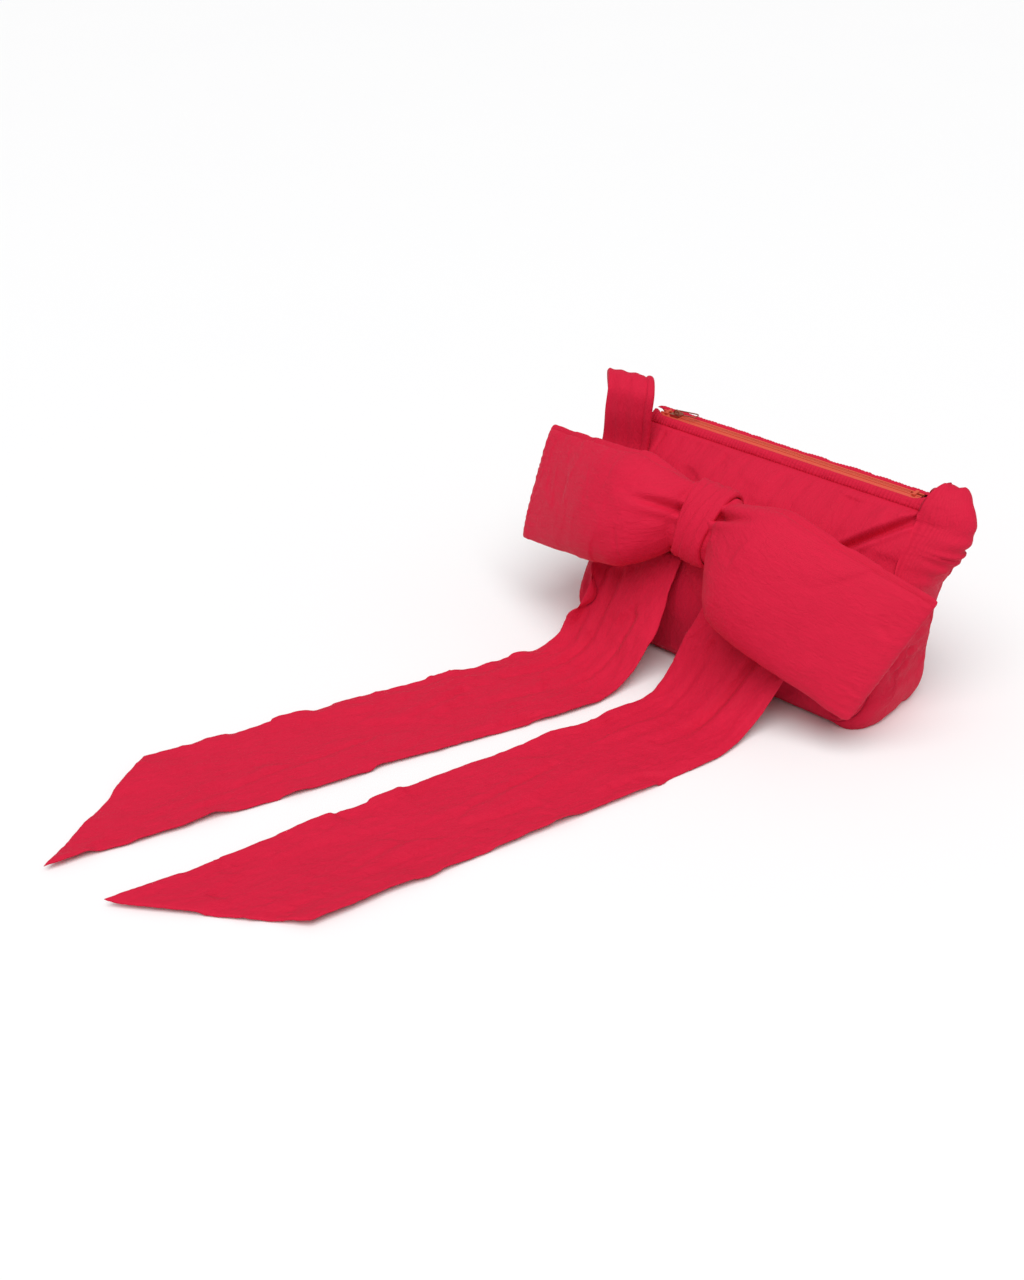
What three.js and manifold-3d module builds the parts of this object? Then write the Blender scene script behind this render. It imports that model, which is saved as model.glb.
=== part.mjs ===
// Padded zip-top shoulder bag with a sewn bow and two long sash tails.
// Millimetres, +Z up. The origin is under the middle of the base and the front faces -Y.

import * as THREE from 'three';
import { mergeVertices } from 'three/addons/utils/BufferGeometryUtils.js';
import Module from 'manifold-3d';

const { degToRad, lerp, smoothstep } = THREE.MathUtils;

// Bag body
const BAG_WIDTH = 300; // between the two side seams
const FRONT_HEIGHT = 183; // front panel, base seam to zip seam, up its slope
const FRONT_LEAN = degToRad(31); // the slumped front leans back
const BASE_DEPTH = 94; // base gusset, front seam to back seam
const BASE_FRONT = 50; // front base seam ahead of the origin
const CORNER_RADIUS = 24; // lower corners of both panels
const TOP_CORNER_RADIUS = 10; // upper corners of both panels
const FRONT_PUFF = 33; // how far the filling pushes the front out
const BACK_PUFF = 28; // and the back
const PAD_EDGE = 3; // quilted wall at its seams
const PAD_MIDDLE = 9; // and in the middle of a panel
const GUSSET_WALL = 5;
const GUSSET_CROWN = 6; // the gusset stands this far outside its seams
const CORNER_SWELL = 24; // the upper right corner is stuffed out by this much more
const LINING_WALL = 1.2;
const LINING_LIFT = 4; // lining floor above the base gusset
const SEAM_GAP = 0.3; // room between sewn neighbours
const LINING_GAP = 1.6; // room between the lining and the padding

// Zip
const ZIP_TILT = degToRad(5); // the chain faces up and a little forward
const ZIP_LEFT = -127; // first tooth, where the closed slider rests
const ZIP_TEETH = 96; // teeth on each tape
const TOOTH_PITCH = 2.54;
const TOOTH_NECK = 0.6; // width of a tooth at the far tooth's tip
const TOOTH_HEAD = 1.3; // width at its own tip, wider than the gap it sits in
const TOOTH_REACH = 1; // how far a tip crosses the middle of the chain
const TOOTH_ROOT = 1.8; // where a tooth starts inside the bead
const TOOTH_HEIGHT = 1.8;
const TAPE_WIDTH = 9.6; // cloth tape outside the bead
const TAPE_DROOP = degToRad(35); // both tapes fall away from the chain like a ridge
const TAPE_WALL = 0.8;
const TAPE_TAIL = 11; // tape past each end of the chain
const BEAD_INNER = 1.35; // moulded bead that carries the teeth
const BEAD_OUTER = 2.9;
const BEAD_HEIGHT = 2;
const WELT_INNER = 2.4; // puckered facing on the tape, measured from the bead
const WELT_OUTER = TAPE_WIDTH - 0.2;
const WELT_HEIGHT = 3;
const STOP_LENGTH = 3;
const STOP_WALL = 0.7;
const ZIP_CLEARANCE = 0.3;

// Slider and puller
const SLIDER_LENGTH = 10;
const SLIDER_HALF_WIDTH = 4.4;
const SLIDER_NOSE_HALF_WIDTH = 3.5;
const SLIDER_PLATE = 1.2;
const SLIDER_FLANGE = 1;
const BRIDGE_LENGTH = 7;
const BRIDGE_HEIGHT = 3.4;
const BRIDGE_WIDTH = 1.6;
const BRIDGE_WALL = 1;
const PULLER_LENGTH = 23;
const PULLER_WIDTH = 7;
const PULLER_WIRE = 1.2;
const PULLER_REST = degToRad(6); // lifted by the plate it lies on

// Bow
const KNOT_OFFSET = -13; // middle of the knot from the middle of the bag
const KNOT_HEIGHT_UP = 113.5; // up the front panel's slope
const KNOT_WIDTH = 39;
const KNOT_WALL = 4;
const KNOT_CLEARANCE = 0.8;
const KNOT_SLOPE = 0.088; // the bow sits askew, its right side low
const PINCH_HEIGHT = 60; // the pad where the knot squeezes it
const PINCH_DEPTH = 32;
const WING_SPAN = 190; // middle of the knot to a wing's end
const LEFT_WING_HEIGHT = 98;
const RIGHT_WING_HEIGHT = 111;
const WING_FLARE = 6; // a wing is this much higher at its end
const WING_END_DEPTH = 14; // folded end edge of a wing
const WING_PUFF = 15; // extra half depth of a wing, most of it close to the knot
const WING_FULL_CURVE = 0.6; // below one moves the fullest part towards the knot
const WING_SAG = 34.5; // both ends droop
const WING_SAG_CURVE = 0.5; // one is a straight droop, less than one drops close to the knot
const WING_OPEN_SHARE = 0.3; // a wing is at its full height this far along
const WING_TILT = 0.21; // slope of a wing's cross lines against the knot's
const WING_SETBACK = 23.5; // both ends turn back towards the bag
const WING_FORWARD = 12; // and the full part of each wing stands off

// Tails
const TAIL_WIDTH = 101;
const TAIL_LENGTH = 544; // along the middle
const TAIL_CUT = 108; // the inner edge is this much longer than the outer
const TAIL_WALL = 2.4; // two layers of cloth
const TAIL_START_WIDTH = 84; // drawn in a little where it is sewn behind the bow
const TAIL_ROOT_LEAN = 0.14; // its first row leans with the round of the front panel
const TAIL_SPREAD = 75; // length over which it opens out
const LEFT_TAIL_HEADING = degToRad(18.6); // run along the floor, turned from straight ahead
const RIGHT_TAIL_HEADING = degToRad(13.1);

// Strap and label
const STRAP_WIDTH = 46;
const STRAP_WALL = 5;
const STRAP_LIFT = 2.5; // lowest edge of the hanging strap above the floor
const LABEL_WIDTH = 12;
const LABEL_HEIGHT = 18;
const LABEL_WALL = 0.8;
const LABEL_UP = 32; // middle of the label above the floor

// Worked-out places
const HALF_WIDTH = BAG_WIDTH / 2;
const X_AXIS = new THREE.Vector3(1, 0, 0);
const frontUp = new THREE.Vector3(0, Math.sin(FRONT_LEAN), Math.cos(FRONT_LEAN));
const frontOut = new THREE.Vector3(0, -Math.cos(FRONT_LEAN), Math.sin(FRONT_LEAN));
const frontBase = new THREE.Vector3(0, -BASE_FRONT, GUSSET_CROWN);
const frontTop = frontBase.clone().addScaledVector(frontUp, FRONT_HEIGHT);
const zipAcross = new THREE.Vector3(0, Math.cos(ZIP_TILT), Math.sin(ZIP_TILT));
const zipUp = new THREE.Vector3(0, -Math.sin(ZIP_TILT), Math.cos(ZIP_TILT));
const tapeReach = BEAD_OUTER + TAPE_WIDTH * Math.cos(TAPE_DROOP) + 2 * SEAM_GAP;
const tapeFall = TAPE_WIDTH * Math.sin(TAPE_DROOP) + 2 * SEAM_GAP;
const zipMiddle = frontTop.clone()
  .addScaledVector(zipAcross, tapeReach)
  .addScaledVector(zipUp, tapeFall);
const backBase = new THREE.Vector3(0, BASE_DEPTH - BASE_FRONT, GUSSET_CROWN);
const backTop = zipMiddle.clone()
  .addScaledVector(zipAcross, tapeReach)
  .addScaledVector(zipUp, -tapeFall);
const backUp = backTop.clone().sub(backBase).normalize();
const backOut = new THREE.Vector3(0, backUp.z, -backUp.y);
const backHeight = backTop.distanceTo(backBase);
const chainLength = ZIP_TEETH * TOOTH_PITCH;
const zipRight = ZIP_LEFT + chainLength;

// Materials
const cloth = { color: '#d5203f', roughness: 0.72, metalness: 0 };
const liningCloth = { color: '#b71a35', roughness: 0.8, metalness: 0 };
const zipPlastic = { color: '#e0563c', roughness: 0.5, metalness: 0 };
const zipMetal = { color: '#b9855c', roughness: 0.32, metalness: 1 };
const labelCloth = { color: '#efece6', roughness: 0.8, metalness: 0 };

// Closed meshes from grids and rings

function closedGeometry(points, triangles) {
  let volume = 0;
  for (const [a, b, c] of triangles) {
    volume += points[a].dot(points[b].clone().cross(points[c]));
  }
  const outward = volume < 0 ? triangles.map(([a, b, c]) => [a, c, b]) : triangles;
  const geometry = new THREE.BufferGeometry().setFromPoints(points);
  geometry.setIndex(outward.flat());
  geometry.computeVertexNormals();
  return geometry;
}

// A wall between two grids of points with the same rows and columns.
function slab(outer, inner) {
  const rows = outer.length;
  const columns = outer[0].length;
  const points = [...outer.flat(), ...inner.flat()];
  const at = (layer, i, j) => (layer * rows + i) * columns + j;
  const triangles = [];
  const quad = (a, b, c, d) => triangles.push([a, b, c], [a, c, d]);
  const lastRow = rows - 1;
  const lastColumn = columns - 1;
  for (let i = 0; i < lastRow; i += 1) {
    for (let j = 0; j < lastColumn; j += 1) {
      quad(at(0, i, j), at(0, i, j + 1), at(0, i + 1, j + 1), at(0, i + 1, j));
      quad(at(1, i, j), at(1, i + 1, j), at(1, i + 1, j + 1), at(1, i, j + 1));
    }
    quad(at(0, i, 0), at(0, i + 1, 0), at(1, i + 1, 0), at(1, i, 0));
    quad(at(0, i, lastColumn), at(1, i, lastColumn), at(1, i + 1, lastColumn), at(0, i + 1, lastColumn));
  }
  for (let j = 0; j < lastColumn; j += 1) {
    quad(at(0, 0, j), at(1, 0, j), at(1, 0, j + 1), at(0, 0, j + 1));
    quad(at(0, lastRow, j), at(0, lastRow, j + 1), at(1, lastRow, j + 1), at(1, lastRow, j));
  }
  return closedGeometry(points, triangles);
}

// A skin over rings of points, closed into a loop or capped at both ends.
function loft(rings, looped = false) {
  const size = rings[0].length;
  const points = rings.flat();
  const triangles = [];
  const spans = looped ? rings.length : rings.length - 1;
  for (let r = 0; r < spans; r += 1) {
    const here = r * size;
    const next = ((r + 1) % rings.length) * size;
    for (let k = 0; k < size; k += 1) {
      const l = (k + 1) % size;
      triangles.push([here + k, here + l, next + l], [here + k, next + l, next + k]);
    }
  }
  if (!looped) {
    for (const [ring, first] of [[rings[0], 0], [rings.at(-1), (rings.length - 1) * size]]) {
      const middle = new THREE.Vector3();
      ring.forEach((point) => middle.addScaledVector(point, 1 / size));
      const centre = points.push(middle) - 1;
      for (let k = 0; k < size; k += 1) {
        const l = (k + 1) % size;
        triangles.push(first === 0 ? [centre, l, k] : [centre, first + k, first + l]);
      }
    }
  }
  return closedGeometry(points, triangles);
}

// An open-topped bag from rings that run along the front and back along the rear.
function pouch(outer, inner) {
  const size = outer[0].length;
  const half = size / 2;
  const levels = outer.length;
  const points = [...outer.flat(), ...inner.flat()];
  const at = (layer, level, k) => (layer * levels + level) * size + (k % size);
  const triangles = [];
  const quad = (a, b, c, d) => triangles.push([a, b, c], [a, c, d]);
  for (let k = 0; k < size; k += 1) {
    for (let v = 0; v < levels - 1; v += 1) {
      quad(at(0, v, k), at(0, v, k + 1), at(0, v + 1, k + 1), at(0, v + 1, k));
      quad(at(1, v, k), at(1, v + 1, k), at(1, v + 1, k + 1), at(1, v, k + 1));
    }
    quad(at(0, levels - 1, k), at(0, levels - 1, k + 1), at(1, levels - 1, k + 1), at(1, levels - 1, k));
  }
  for (let k = 0; k < half - 1; k += 1) {
    const far = size - 1 - k;
    quad(at(0, 0, k + 1), at(0, 0, k), at(0, 0, far), at(0, 0, far - 1));
    quad(at(1, 0, k), at(1, 0, k + 1), at(1, 0, far - 1), at(1, 0, far));
  }
  return closedGeometry(points, triangles);
}

// Joining and cutting of closed meshes

const wasm = await Module();
wasm.setup();

function toSolid(geometry) {
  const bare = geometry.clone();
  bare.deleteAttribute('normal');
  bare.deleteAttribute('uv');
  const merged = mergeVertices(bare);
  const vertProperties = new Float32Array(merged.attributes.position.array);
  const triVerts = new Uint32Array(merged.index.array);
  return new wasm.Manifold(new wasm.Mesh({ numProp: 3, vertProperties, triVerts }));
}

function toGeometry(solid) {
  const { vertProperties, triVerts } = solid.getMesh();
  const geometry = new THREE.BufferGeometry();
  geometry.setAttribute('position', new THREE.BufferAttribute(new Float32Array(vertProperties), 3));
  geometry.setIndex(new THREE.BufferAttribute(new Uint32Array(triVerts), 1));
  geometry.computeVertexNormals();
  return geometry;
}

function joined(geometries) {
  return geometries.map(toSolid).reduce((whole, piece) => whole.add(piece));
}

// A flat outline pushed along X: its points are (across, up) pairs.
function barAlongX(outline, from, to) {
  const shape = new THREE.Shape(outline.map(([across, up]) => new THREE.Vector2(across, up)));
  const geometry = new THREE.ExtrudeGeometry(shape, { depth: to - from, bevelEnabled: false });
  geometry.applyMatrix4(new THREE.Matrix4().makeBasis(
    new THREE.Vector3(0, 1, 0),
    new THREE.Vector3(0, 0, 1),
    X_AXIS,
  ));
  return geometry.translate(from, 0, 0);
}

function named(name, geometry, finish) {
  const mesh = new THREE.Mesh(geometry, new THREE.MeshStandardMaterial(finish));
  mesh.name = name;
  return mesh;
}

// Panel outline and puff

// Half width of a panel at a height, with its rounded corners moved in by an inset.
function halfWidthAt(y, height, inset = 0) {
  const below = CORNER_RADIUS - y;
  if (below > 0) {
    const radius = CORNER_RADIUS - inset;
    return HALF_WIDTH - CORNER_RADIUS + Math.sqrt(Math.max(radius ** 2 - below ** 2, 0));
  }
  const above = y - (height - TOP_CORNER_RADIUS);
  if (above > 0) {
    const reach = Math.sqrt(Math.max(TOP_CORNER_RADIUS ** 2 - above ** 2, 0));
    return HALF_WIDTH - TOP_CORNER_RADIUS + reach - inset;
  }
  return HALF_WIDTH - inset;
}

// One in the middle of a panel and nothing at its seams.
function puffAt(x, y, height) {
  const across = 1 - (x / HALF_WIDTH) ** 2;
  const along = 1 - ((2 * y) / height - 1) ** 2;
  return Math.max(across, 0) * Math.max(along, 0);
}

// Heights of a panel's rows, closer together round its corners.
function rowHeights(height) {
  const cornerRows = 4;
  const topRows = 2;
  const middleRows = 7;
  const heights = [];
  for (let k = 0; k < cornerRows; k += 1) {
    heights.push(CORNER_RADIUS * (1 - Math.cos((k / cornerRows) * (Math.PI / 2))));
  }
  const straight = height - CORNER_RADIUS - TOP_CORNER_RADIUS;
  for (let k = 0; k < middleRows; k += 1) {
    heights.push(CORNER_RADIUS + (straight * k) / middleRows);
  }
  for (let k = 0; k <= topRows; k += 1) {
    heights.push(height - TOP_CORNER_RADIUS * (1 - Math.sin((k / topRows) * (Math.PI / 2))));
  }
  return heights;
}

// A point outside the front panel: across it, up its slope and clear of its padding.
function aheadOfFront(x, y, clearance) {
  const fullness = puffAt(x, y, FRONT_HEIGHT);
  const surface = SEAM_GAP + FRONT_PUFF * fullness + lerp(PAD_EDGE, PAD_MIDDLE, fullness);
  return frontBase.clone()
    .addScaledVector(X_AXIS, x)
    .addScaledVector(frontUp, y)
    .addScaledVector(frontOut, surface + clearance);
}

// A padded wall that lies on a sloping seam plane and swells away from it.
function paddedPanel(base, up, out, height, puff) {
  const columns = 14;
  const outer = [];
  const inner = [];
  for (const y of rowHeights(height)) {
    const outerRow = [];
    const innerRow = [];
    for (let j = 0; j <= columns; j += 1) {
      const x = halfWidthAt(y, height) * ((2 * j) / columns - 1);
      const fullness = puffAt(x, y, height);
      const seat = base.clone().addScaledVector(X_AXIS, x).addScaledVector(up, y);
      const lift = SEAM_GAP + puff * fullness;
      innerRow.push(seat.clone().addScaledVector(out, lift));
      outerRow.push(seat.clone().addScaledVector(out, lift + lerp(PAD_EDGE, PAD_MIDDLE, fullness)));
    }
    outer.push(outerRow);
    inner.push(innerRow);
  }
  return slab(outer, inner);
}

// The strip that joins the panels: down one side, across the base and up the other side.
function sideGusset() {
  // Share of the way from front seam to back seam, and share of the full crown.
  const crownProfile = [[0, 0], [0.09, 1], [0.25, 1], [0.5, 1], [0.75, 1], [0.91, 1], [1, 0]];
  const arcSteps = 5;
  const baseSteps = 6;
  const sideSteps = 10;
  const route = [];
  const addSide = (sign, share) => route.push({
    x: sign * HALF_WIDTH,
    share,
    out: [sign, 0],
    // From nothing at half height to the full swell below the top, where the strap draws it in.
    swell: sign > 0 ? CORNER_SWELL * smoothstep(share, 0.45, 0.9) * (1 - 0.3 * share ** 8) : 0,
  });
  const addArc = (sign, turn) => route.push({
    x: sign * (HALF_WIDTH - CORNER_RADIUS * (1 - Math.cos(turn))),
    rise: CORNER_RADIUS * (1 - Math.sin(turn)),
    out: [sign * Math.cos(turn), -Math.sin(turn)],
  });
  for (let k = 0; k < sideSteps; k += 1) {
    addSide(-1, 1 - k / sideSteps);
  }
  for (let k = 0; k <= arcSteps; k += 1) {
    addArc(-1, (k / arcSteps) * (Math.PI / 2));
  }
  for (let k = 1; k < baseSteps; k += 1) {
    const x = (HALF_WIDTH - CORNER_RADIUS) * ((2 * k) / baseSteps - 1);
    route.push({ x, rise: 0, out: [0, -1] });
  }
  for (let k = arcSteps; k >= 0; k -= 1) {
    addArc(1, (k / arcSteps) * (Math.PI / 2));
  }
  for (let k = sideSteps - 1; k >= 0; k -= 1) {
    addSide(1, 1 - k / sideSteps);
  }
  const outer = [];
  const inner = [];
  for (const { x, rise, share, out, swell = 0 } of route) {
    const standOff = ([across, crown]) => crown * GUSSET_CROWN + swell * Math.sin(Math.PI * across);
    const seamHeight = (height) => (
      rise ?? lerp(CORNER_RADIUS, height - TOP_CORNER_RADIUS, share)
    );
    const front = frontBase.clone().addScaledVector(frontUp, seamHeight(FRONT_HEIGHT)).setX(x);
    const back = backBase.clone().addScaledVector(backUp, seamHeight(backHeight)).setX(x);
    const outward = new THREE.Vector3(out[0], 0, out[1]);
    outer.push(crownProfile.map((station) => (
      front.clone().lerp(back, station[0]).addScaledVector(outward, standOff(station))
    )));
    inner.push(crownProfile.map((station) => {
      const slope = frontUp.clone().lerp(backUp, station[0]).multiplyScalar(out[1]);
      return front.clone().lerp(back, station[0])
        .addScaledVector(outward, standOff(station))
        .addScaledVector(slope.setX(out[0]), -GUSSET_WALL);
    }));
  }
  return slab(outer, inner);
}

// Thin pouch that hangs from the zip inside the padding.
function liningPouch() {
  const levels = 9;
  const columns = 12;
  const lowest = GUSSET_WALL + LINING_LIFT;
  const inset = GUSSET_WALL + LINING_GAP;
  const ring = (share, wall) => {
    const runs = [];
    const walls = [
      [frontBase, frontUp, frontOut, FRONT_HEIGHT, FRONT_PUFF, 1],
      [backBase, backUp, backOut, backHeight, BACK_PUFF, -1],
    ];
    for (const [base, up, out, height, puff, sense] of walls) {
      const floor = lowest + wall;
      const y = lerp(floor, height - TOP_CORNER_RADIUS, share);
      const reach = halfWidthAt(y, height, inset + wall);
      for (let j = 0; j <= columns; j += 1) {
        const x = sense * reach * ((2 * j) / columns - 1);
        const lift = SEAM_GAP + puff * puffAt(x, y, height) - LINING_GAP - wall;
        const seat = base.clone().addScaledVector(X_AXIS, x).addScaledVector(up, y);
        runs.push(seat.addScaledVector(out, lift));
      }
    }
    return runs;
  };
  const shares = Array.from({ length: levels }, (_, k) => k / (levels - 1));
  return pouch(shares.map((share) => ring(share, 0)), shares.map((share) => ring(share, LINING_WALL)));
}

// Zip pieces, in the zip's own frame: X along the chain, Y across it, Z up from the tape

// A place on a drooping tape: out along it from the bead, and up from its middle.
function onTape(side, out, up) {
  const across = BEAD_OUTER + out * Math.cos(TAPE_DROOP) + up * Math.sin(TAPE_DROOP);
  return [side * across, up * Math.cos(TAPE_DROOP) - out * Math.sin(TAPE_DROOP)];
}

function tapeOutline(side, grow = 0) {
  const wall = TAPE_WALL / 2 + grow;
  const bead = BEAD_HEIGHT / 2 + grow;
  const root = grow / Math.cos(TAPE_DROOP);
  return [
    onTape(side, TAPE_WIDTH + grow, -wall),
    onTape(side, root + wall * Math.tan(TAPE_DROOP), -wall),
    [side * (BEAD_OUTER + grow), -bead],
    [side * (BEAD_INNER - grow), -bead],
    [side * (BEAD_INNER - grow), bead],
    [side * (BEAD_OUTER + grow), bead],
    onTape(side, root - wall * Math.tan(TAPE_DROOP), wall),
    onTape(side, TAPE_WIDTH + grow, wall),
  ];
}

// Dovetail tooth: each tip is wider than the gap between the two tips it sits behind.
function zipTooth(x, side) {
  const widthAt = (across) => lerp(
    TOOTH_NECK,
    TOOTH_HEAD,
    (across + TOOTH_REACH) / (2 * TOOTH_REACH),
  ) / 2;
  const root = -TOOTH_ROOT;
  const outline = [
    [x - widthAt(root), -side * root],
    [x + widthAt(root), -side * root],
    [x + widthAt(TOOTH_REACH), -side * TOOTH_REACH],
    [x - widthAt(TOOTH_REACH), -side * TOOTH_REACH],
  ];
  const shape = new THREE.Shape(outline.map(([along, across]) => new THREE.Vector2(along, across)));
  const geometry = new THREE.ExtrudeGeometry(shape, { depth: TOOTH_HEIGHT, bevelEnabled: false });
  return geometry.translate(0, 0, -TOOTH_HEIGHT / 2);
}

function zipHalf(side) {
  const tape = barAlongX(tapeOutline(side), ZIP_LEFT - TAPE_TAIL, zipRight + TAPE_TAIL);
  const phase = (2 + side) / 4; // the two rows are half a pitch apart
  const teeth = Array.from({ length: ZIP_TEETH }, (_, k) => (
    zipTooth(ZIP_LEFT + (k + phase) * TOOTH_PITCH, side)
  ));
  return toGeometry(joined([tape, ...teeth]));
}

// A clip folded round one bead, or round both at the closed end of the chain.
function zipStop(from, sides) {
  const reach = BEAD_OUTER + ZIP_CLEARANCE + STOP_WALL;
  const height = BEAD_HEIGHT + 2 * (ZIP_CLEARANCE + STOP_WALL);
  const inner = ZIP_CLEARANCE;
  const near = sides.includes(-1) ? -reach : inner;
  const far = sides.includes(1) ? reach : -inner;
  const block = new THREE.BoxGeometry(STOP_LENGTH, far - near, height);
  block.translate(from + STOP_LENGTH / 2, (near + far) / 2, 0);
  const groove = (side) => toSolid(barAlongX(
    tapeOutline(side, ZIP_CLEARANCE),
    from - STOP_LENGTH,
    from + 2 * STOP_LENGTH,
  ));
  return toGeometry(sides.reduce((clip, side) => clip.subtract(groove(side)), toSolid(block)));
}

// Puckered strip of cloth that covers the tape beside the chain.
function zipWelt(side) {
  const arcSteps = 8;
  const base = TAPE_WALL / 2 + ZIP_CLEARANCE;
  const middle = (WELT_INNER + WELT_OUTER) / 2;
  const half = (WELT_OUTER - WELT_INNER) / 2;
  const outline = Array.from({ length: arcSteps + 1 }, (_, k) => {
    const turn = Math.PI * (k / arcSteps);
    return onTape(side, middle + half * Math.cos(turn), base + WELT_HEIGHT * Math.sin(turn));
  });
  return barAlongX(outline, ZIP_LEFT - TAPE_TAIL, zipRight + TAPE_TAIL);
}

const plateUnder = BEAD_HEIGHT / 2 + ZIP_CLEARANCE;
const plateTop = plateUnder + SLIDER_PLATE;
const hingeHeight = plateTop + (BRIDGE_HEIGHT - BRIDGE_WALL) / 2;

// Top plate with its side flanges and the bridge that the puller hangs from.
function zipSlider() {
  const half = SLIDER_LENGTH / 2;
  const nose = new THREE.Shape();
  nose.moveTo(-half, -SLIDER_HALF_WIDTH);
  nose.quadraticCurveTo(0, -SLIDER_HALF_WIDTH, half, -SLIDER_NOSE_HALF_WIDTH);
  nose.quadraticCurveTo(half + SLIDER_PLATE, 0, half, SLIDER_NOSE_HALF_WIDTH);
  nose.quadraticCurveTo(0, SLIDER_HALF_WIDTH, -half, SLIDER_HALF_WIDTH);
  nose.quadraticCurveTo(-half + SLIDER_PLATE, 0, -half, -SLIDER_HALF_WIDTH);
  const plate = new THREE.ExtrudeGeometry(nose, {
    depth: SLIDER_PLATE, bevelEnabled: false, curveSegments: 5,
  });
  plate.translate(0, 0, plateUnder);
  const flangeUnder = TAPE_WALL / 2 + ZIP_CLEARANCE;
  const flangeInner = BEAD_OUTER + ZIP_CLEARANCE;
  const flanges = [-1, 1].map((side) => barAlongX([
    [side * flangeInner, flangeUnder],
    [side * (flangeInner + SLIDER_FLANGE), flangeUnder],
    [side * (flangeInner + SLIDER_FLANGE), plateTop - SLIDER_PLATE / 3],
    [side * flangeInner, plateTop - SLIDER_PLATE / 3],
  ], -half, half - SLIDER_PLATE));
  const arch = new THREE.Shape();
  const bridgeHalf = BRIDGE_LENGTH / 2;
  arch.moveTo(-bridgeHalf, -SLIDER_PLATE / 2);
  arch.lineTo(bridgeHalf, -SLIDER_PLATE / 2);
  arch.quadraticCurveTo(bridgeHalf, BRIDGE_HEIGHT, 0, BRIDGE_HEIGHT);
  arch.quadraticCurveTo(-bridgeHalf, BRIDGE_HEIGHT, -bridgeHalf, -SLIDER_PLATE / 2);
  const eye = new THREE.Path();
  const eyeHeight = (BRIDGE_HEIGHT - BRIDGE_WALL) / 2;
  const eyeReach = bridgeHalf - 1.5 * BRIDGE_WALL;
  eye.absellipse(0, eyeHeight, eyeReach, eyeHeight - BRIDGE_WALL / 10, 0, 2 * Math.PI, true);
  arch.holes.push(eye);
  const bridge = new THREE.ExtrudeGeometry(arch, {
    depth: BRIDGE_WIDTH, bevelEnabled: false, curveSegments: 6,
  });
  bridge.rotateX(Math.PI / 2);
  bridge.translate(0, BRIDGE_WIDTH / 2, plateTop);
  return toGeometry(joined([plate, ...flanges, bridge]));
}

// Bent wire loop: one end passes through the bridge, the other end is the finger grip.
function zipPuller() {
  const sides = 8;
  const steps = 30;
  const half = PULLER_WIDTH / 2;
  const bend = PULLER_WIDTH / 4;
  const outline = new THREE.Path();
  outline.moveTo(0, -half + bend);
  outline.lineTo(0, half - bend);
  outline.absarc(bend, half - bend, bend, Math.PI, Math.PI / 2, true);
  outline.lineTo(PULLER_LENGTH - half, half);
  outline.absarc(PULLER_LENGTH - half, 0, half, Math.PI / 2, -Math.PI / 2, true);
  outline.lineTo(bend, -half);
  outline.absarc(bend, -half + bend, bend, -Math.PI / 2, -Math.PI, true);
  const rings = [];
  for (let k = 0; k < steps; k += 1) {
    const point = outline.getPointAt(k / steps);
    const along = outline.getTangentAt(k / steps);
    rings.push(Array.from({ length: sides }, (_, s) => {
      const turn = (2 * Math.PI * s) / sides;
      const away = (PULLER_WIRE / 2) * Math.cos(turn);
      const up = (PULLER_WIRE / 2) * Math.sin(turn);
      return new THREE.Vector3(point.x + away * along.y, point.y - away * along.x, up);
    }));
  }
  return loft(rings, true);
}

// Bow, in the front panel's frame: X across, Y up the slope, Z away from the panel

const knotHalfHeight = PINCH_HEIGHT / 2 + KNOT_CLEARANCE + KNOT_WALL;
const knotHalfDepth = PINCH_DEPTH / 2 + KNOT_CLEARANCE + KNOT_WALL;
const knotTurn = -Math.atan(KNOT_SLOPE);
const knotLift = 2 * SEAM_GAP + FRONT_PUFF + PAD_MIDDLE + knotHalfDepth;
const wingStart = KNOT_WIDTH / 2 + 2 * KNOT_CLEARANCE; // the pad runs straight inside the knot

// Share of a wing that lies outside the knot, from nothing at the knot to one at the end.
function wingShare(x) {
  return Math.max(Math.abs(x) - wingStart, 0) / (WING_SPAN - wingStart);
}

// Nothing at both ends of a wing and one at its fullest part.
function wingFullness(x) {
  return Math.sin(Math.PI * wingShare(x) ** WING_FULL_CURVE);
}

function wingMiddle(x) {
  const share = wingShare(x);
  return new THREE.Vector3(
    KNOT_OFFSET + x,
    KNOT_HEIGHT_UP - KNOT_SLOPE * x - WING_SAG * share ** WING_SAG_CURVE,
    knotLift - WING_SETBACK * share ** 2 + WING_FORWARD * wingFullness(x) ** 2,
  );
}

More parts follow.
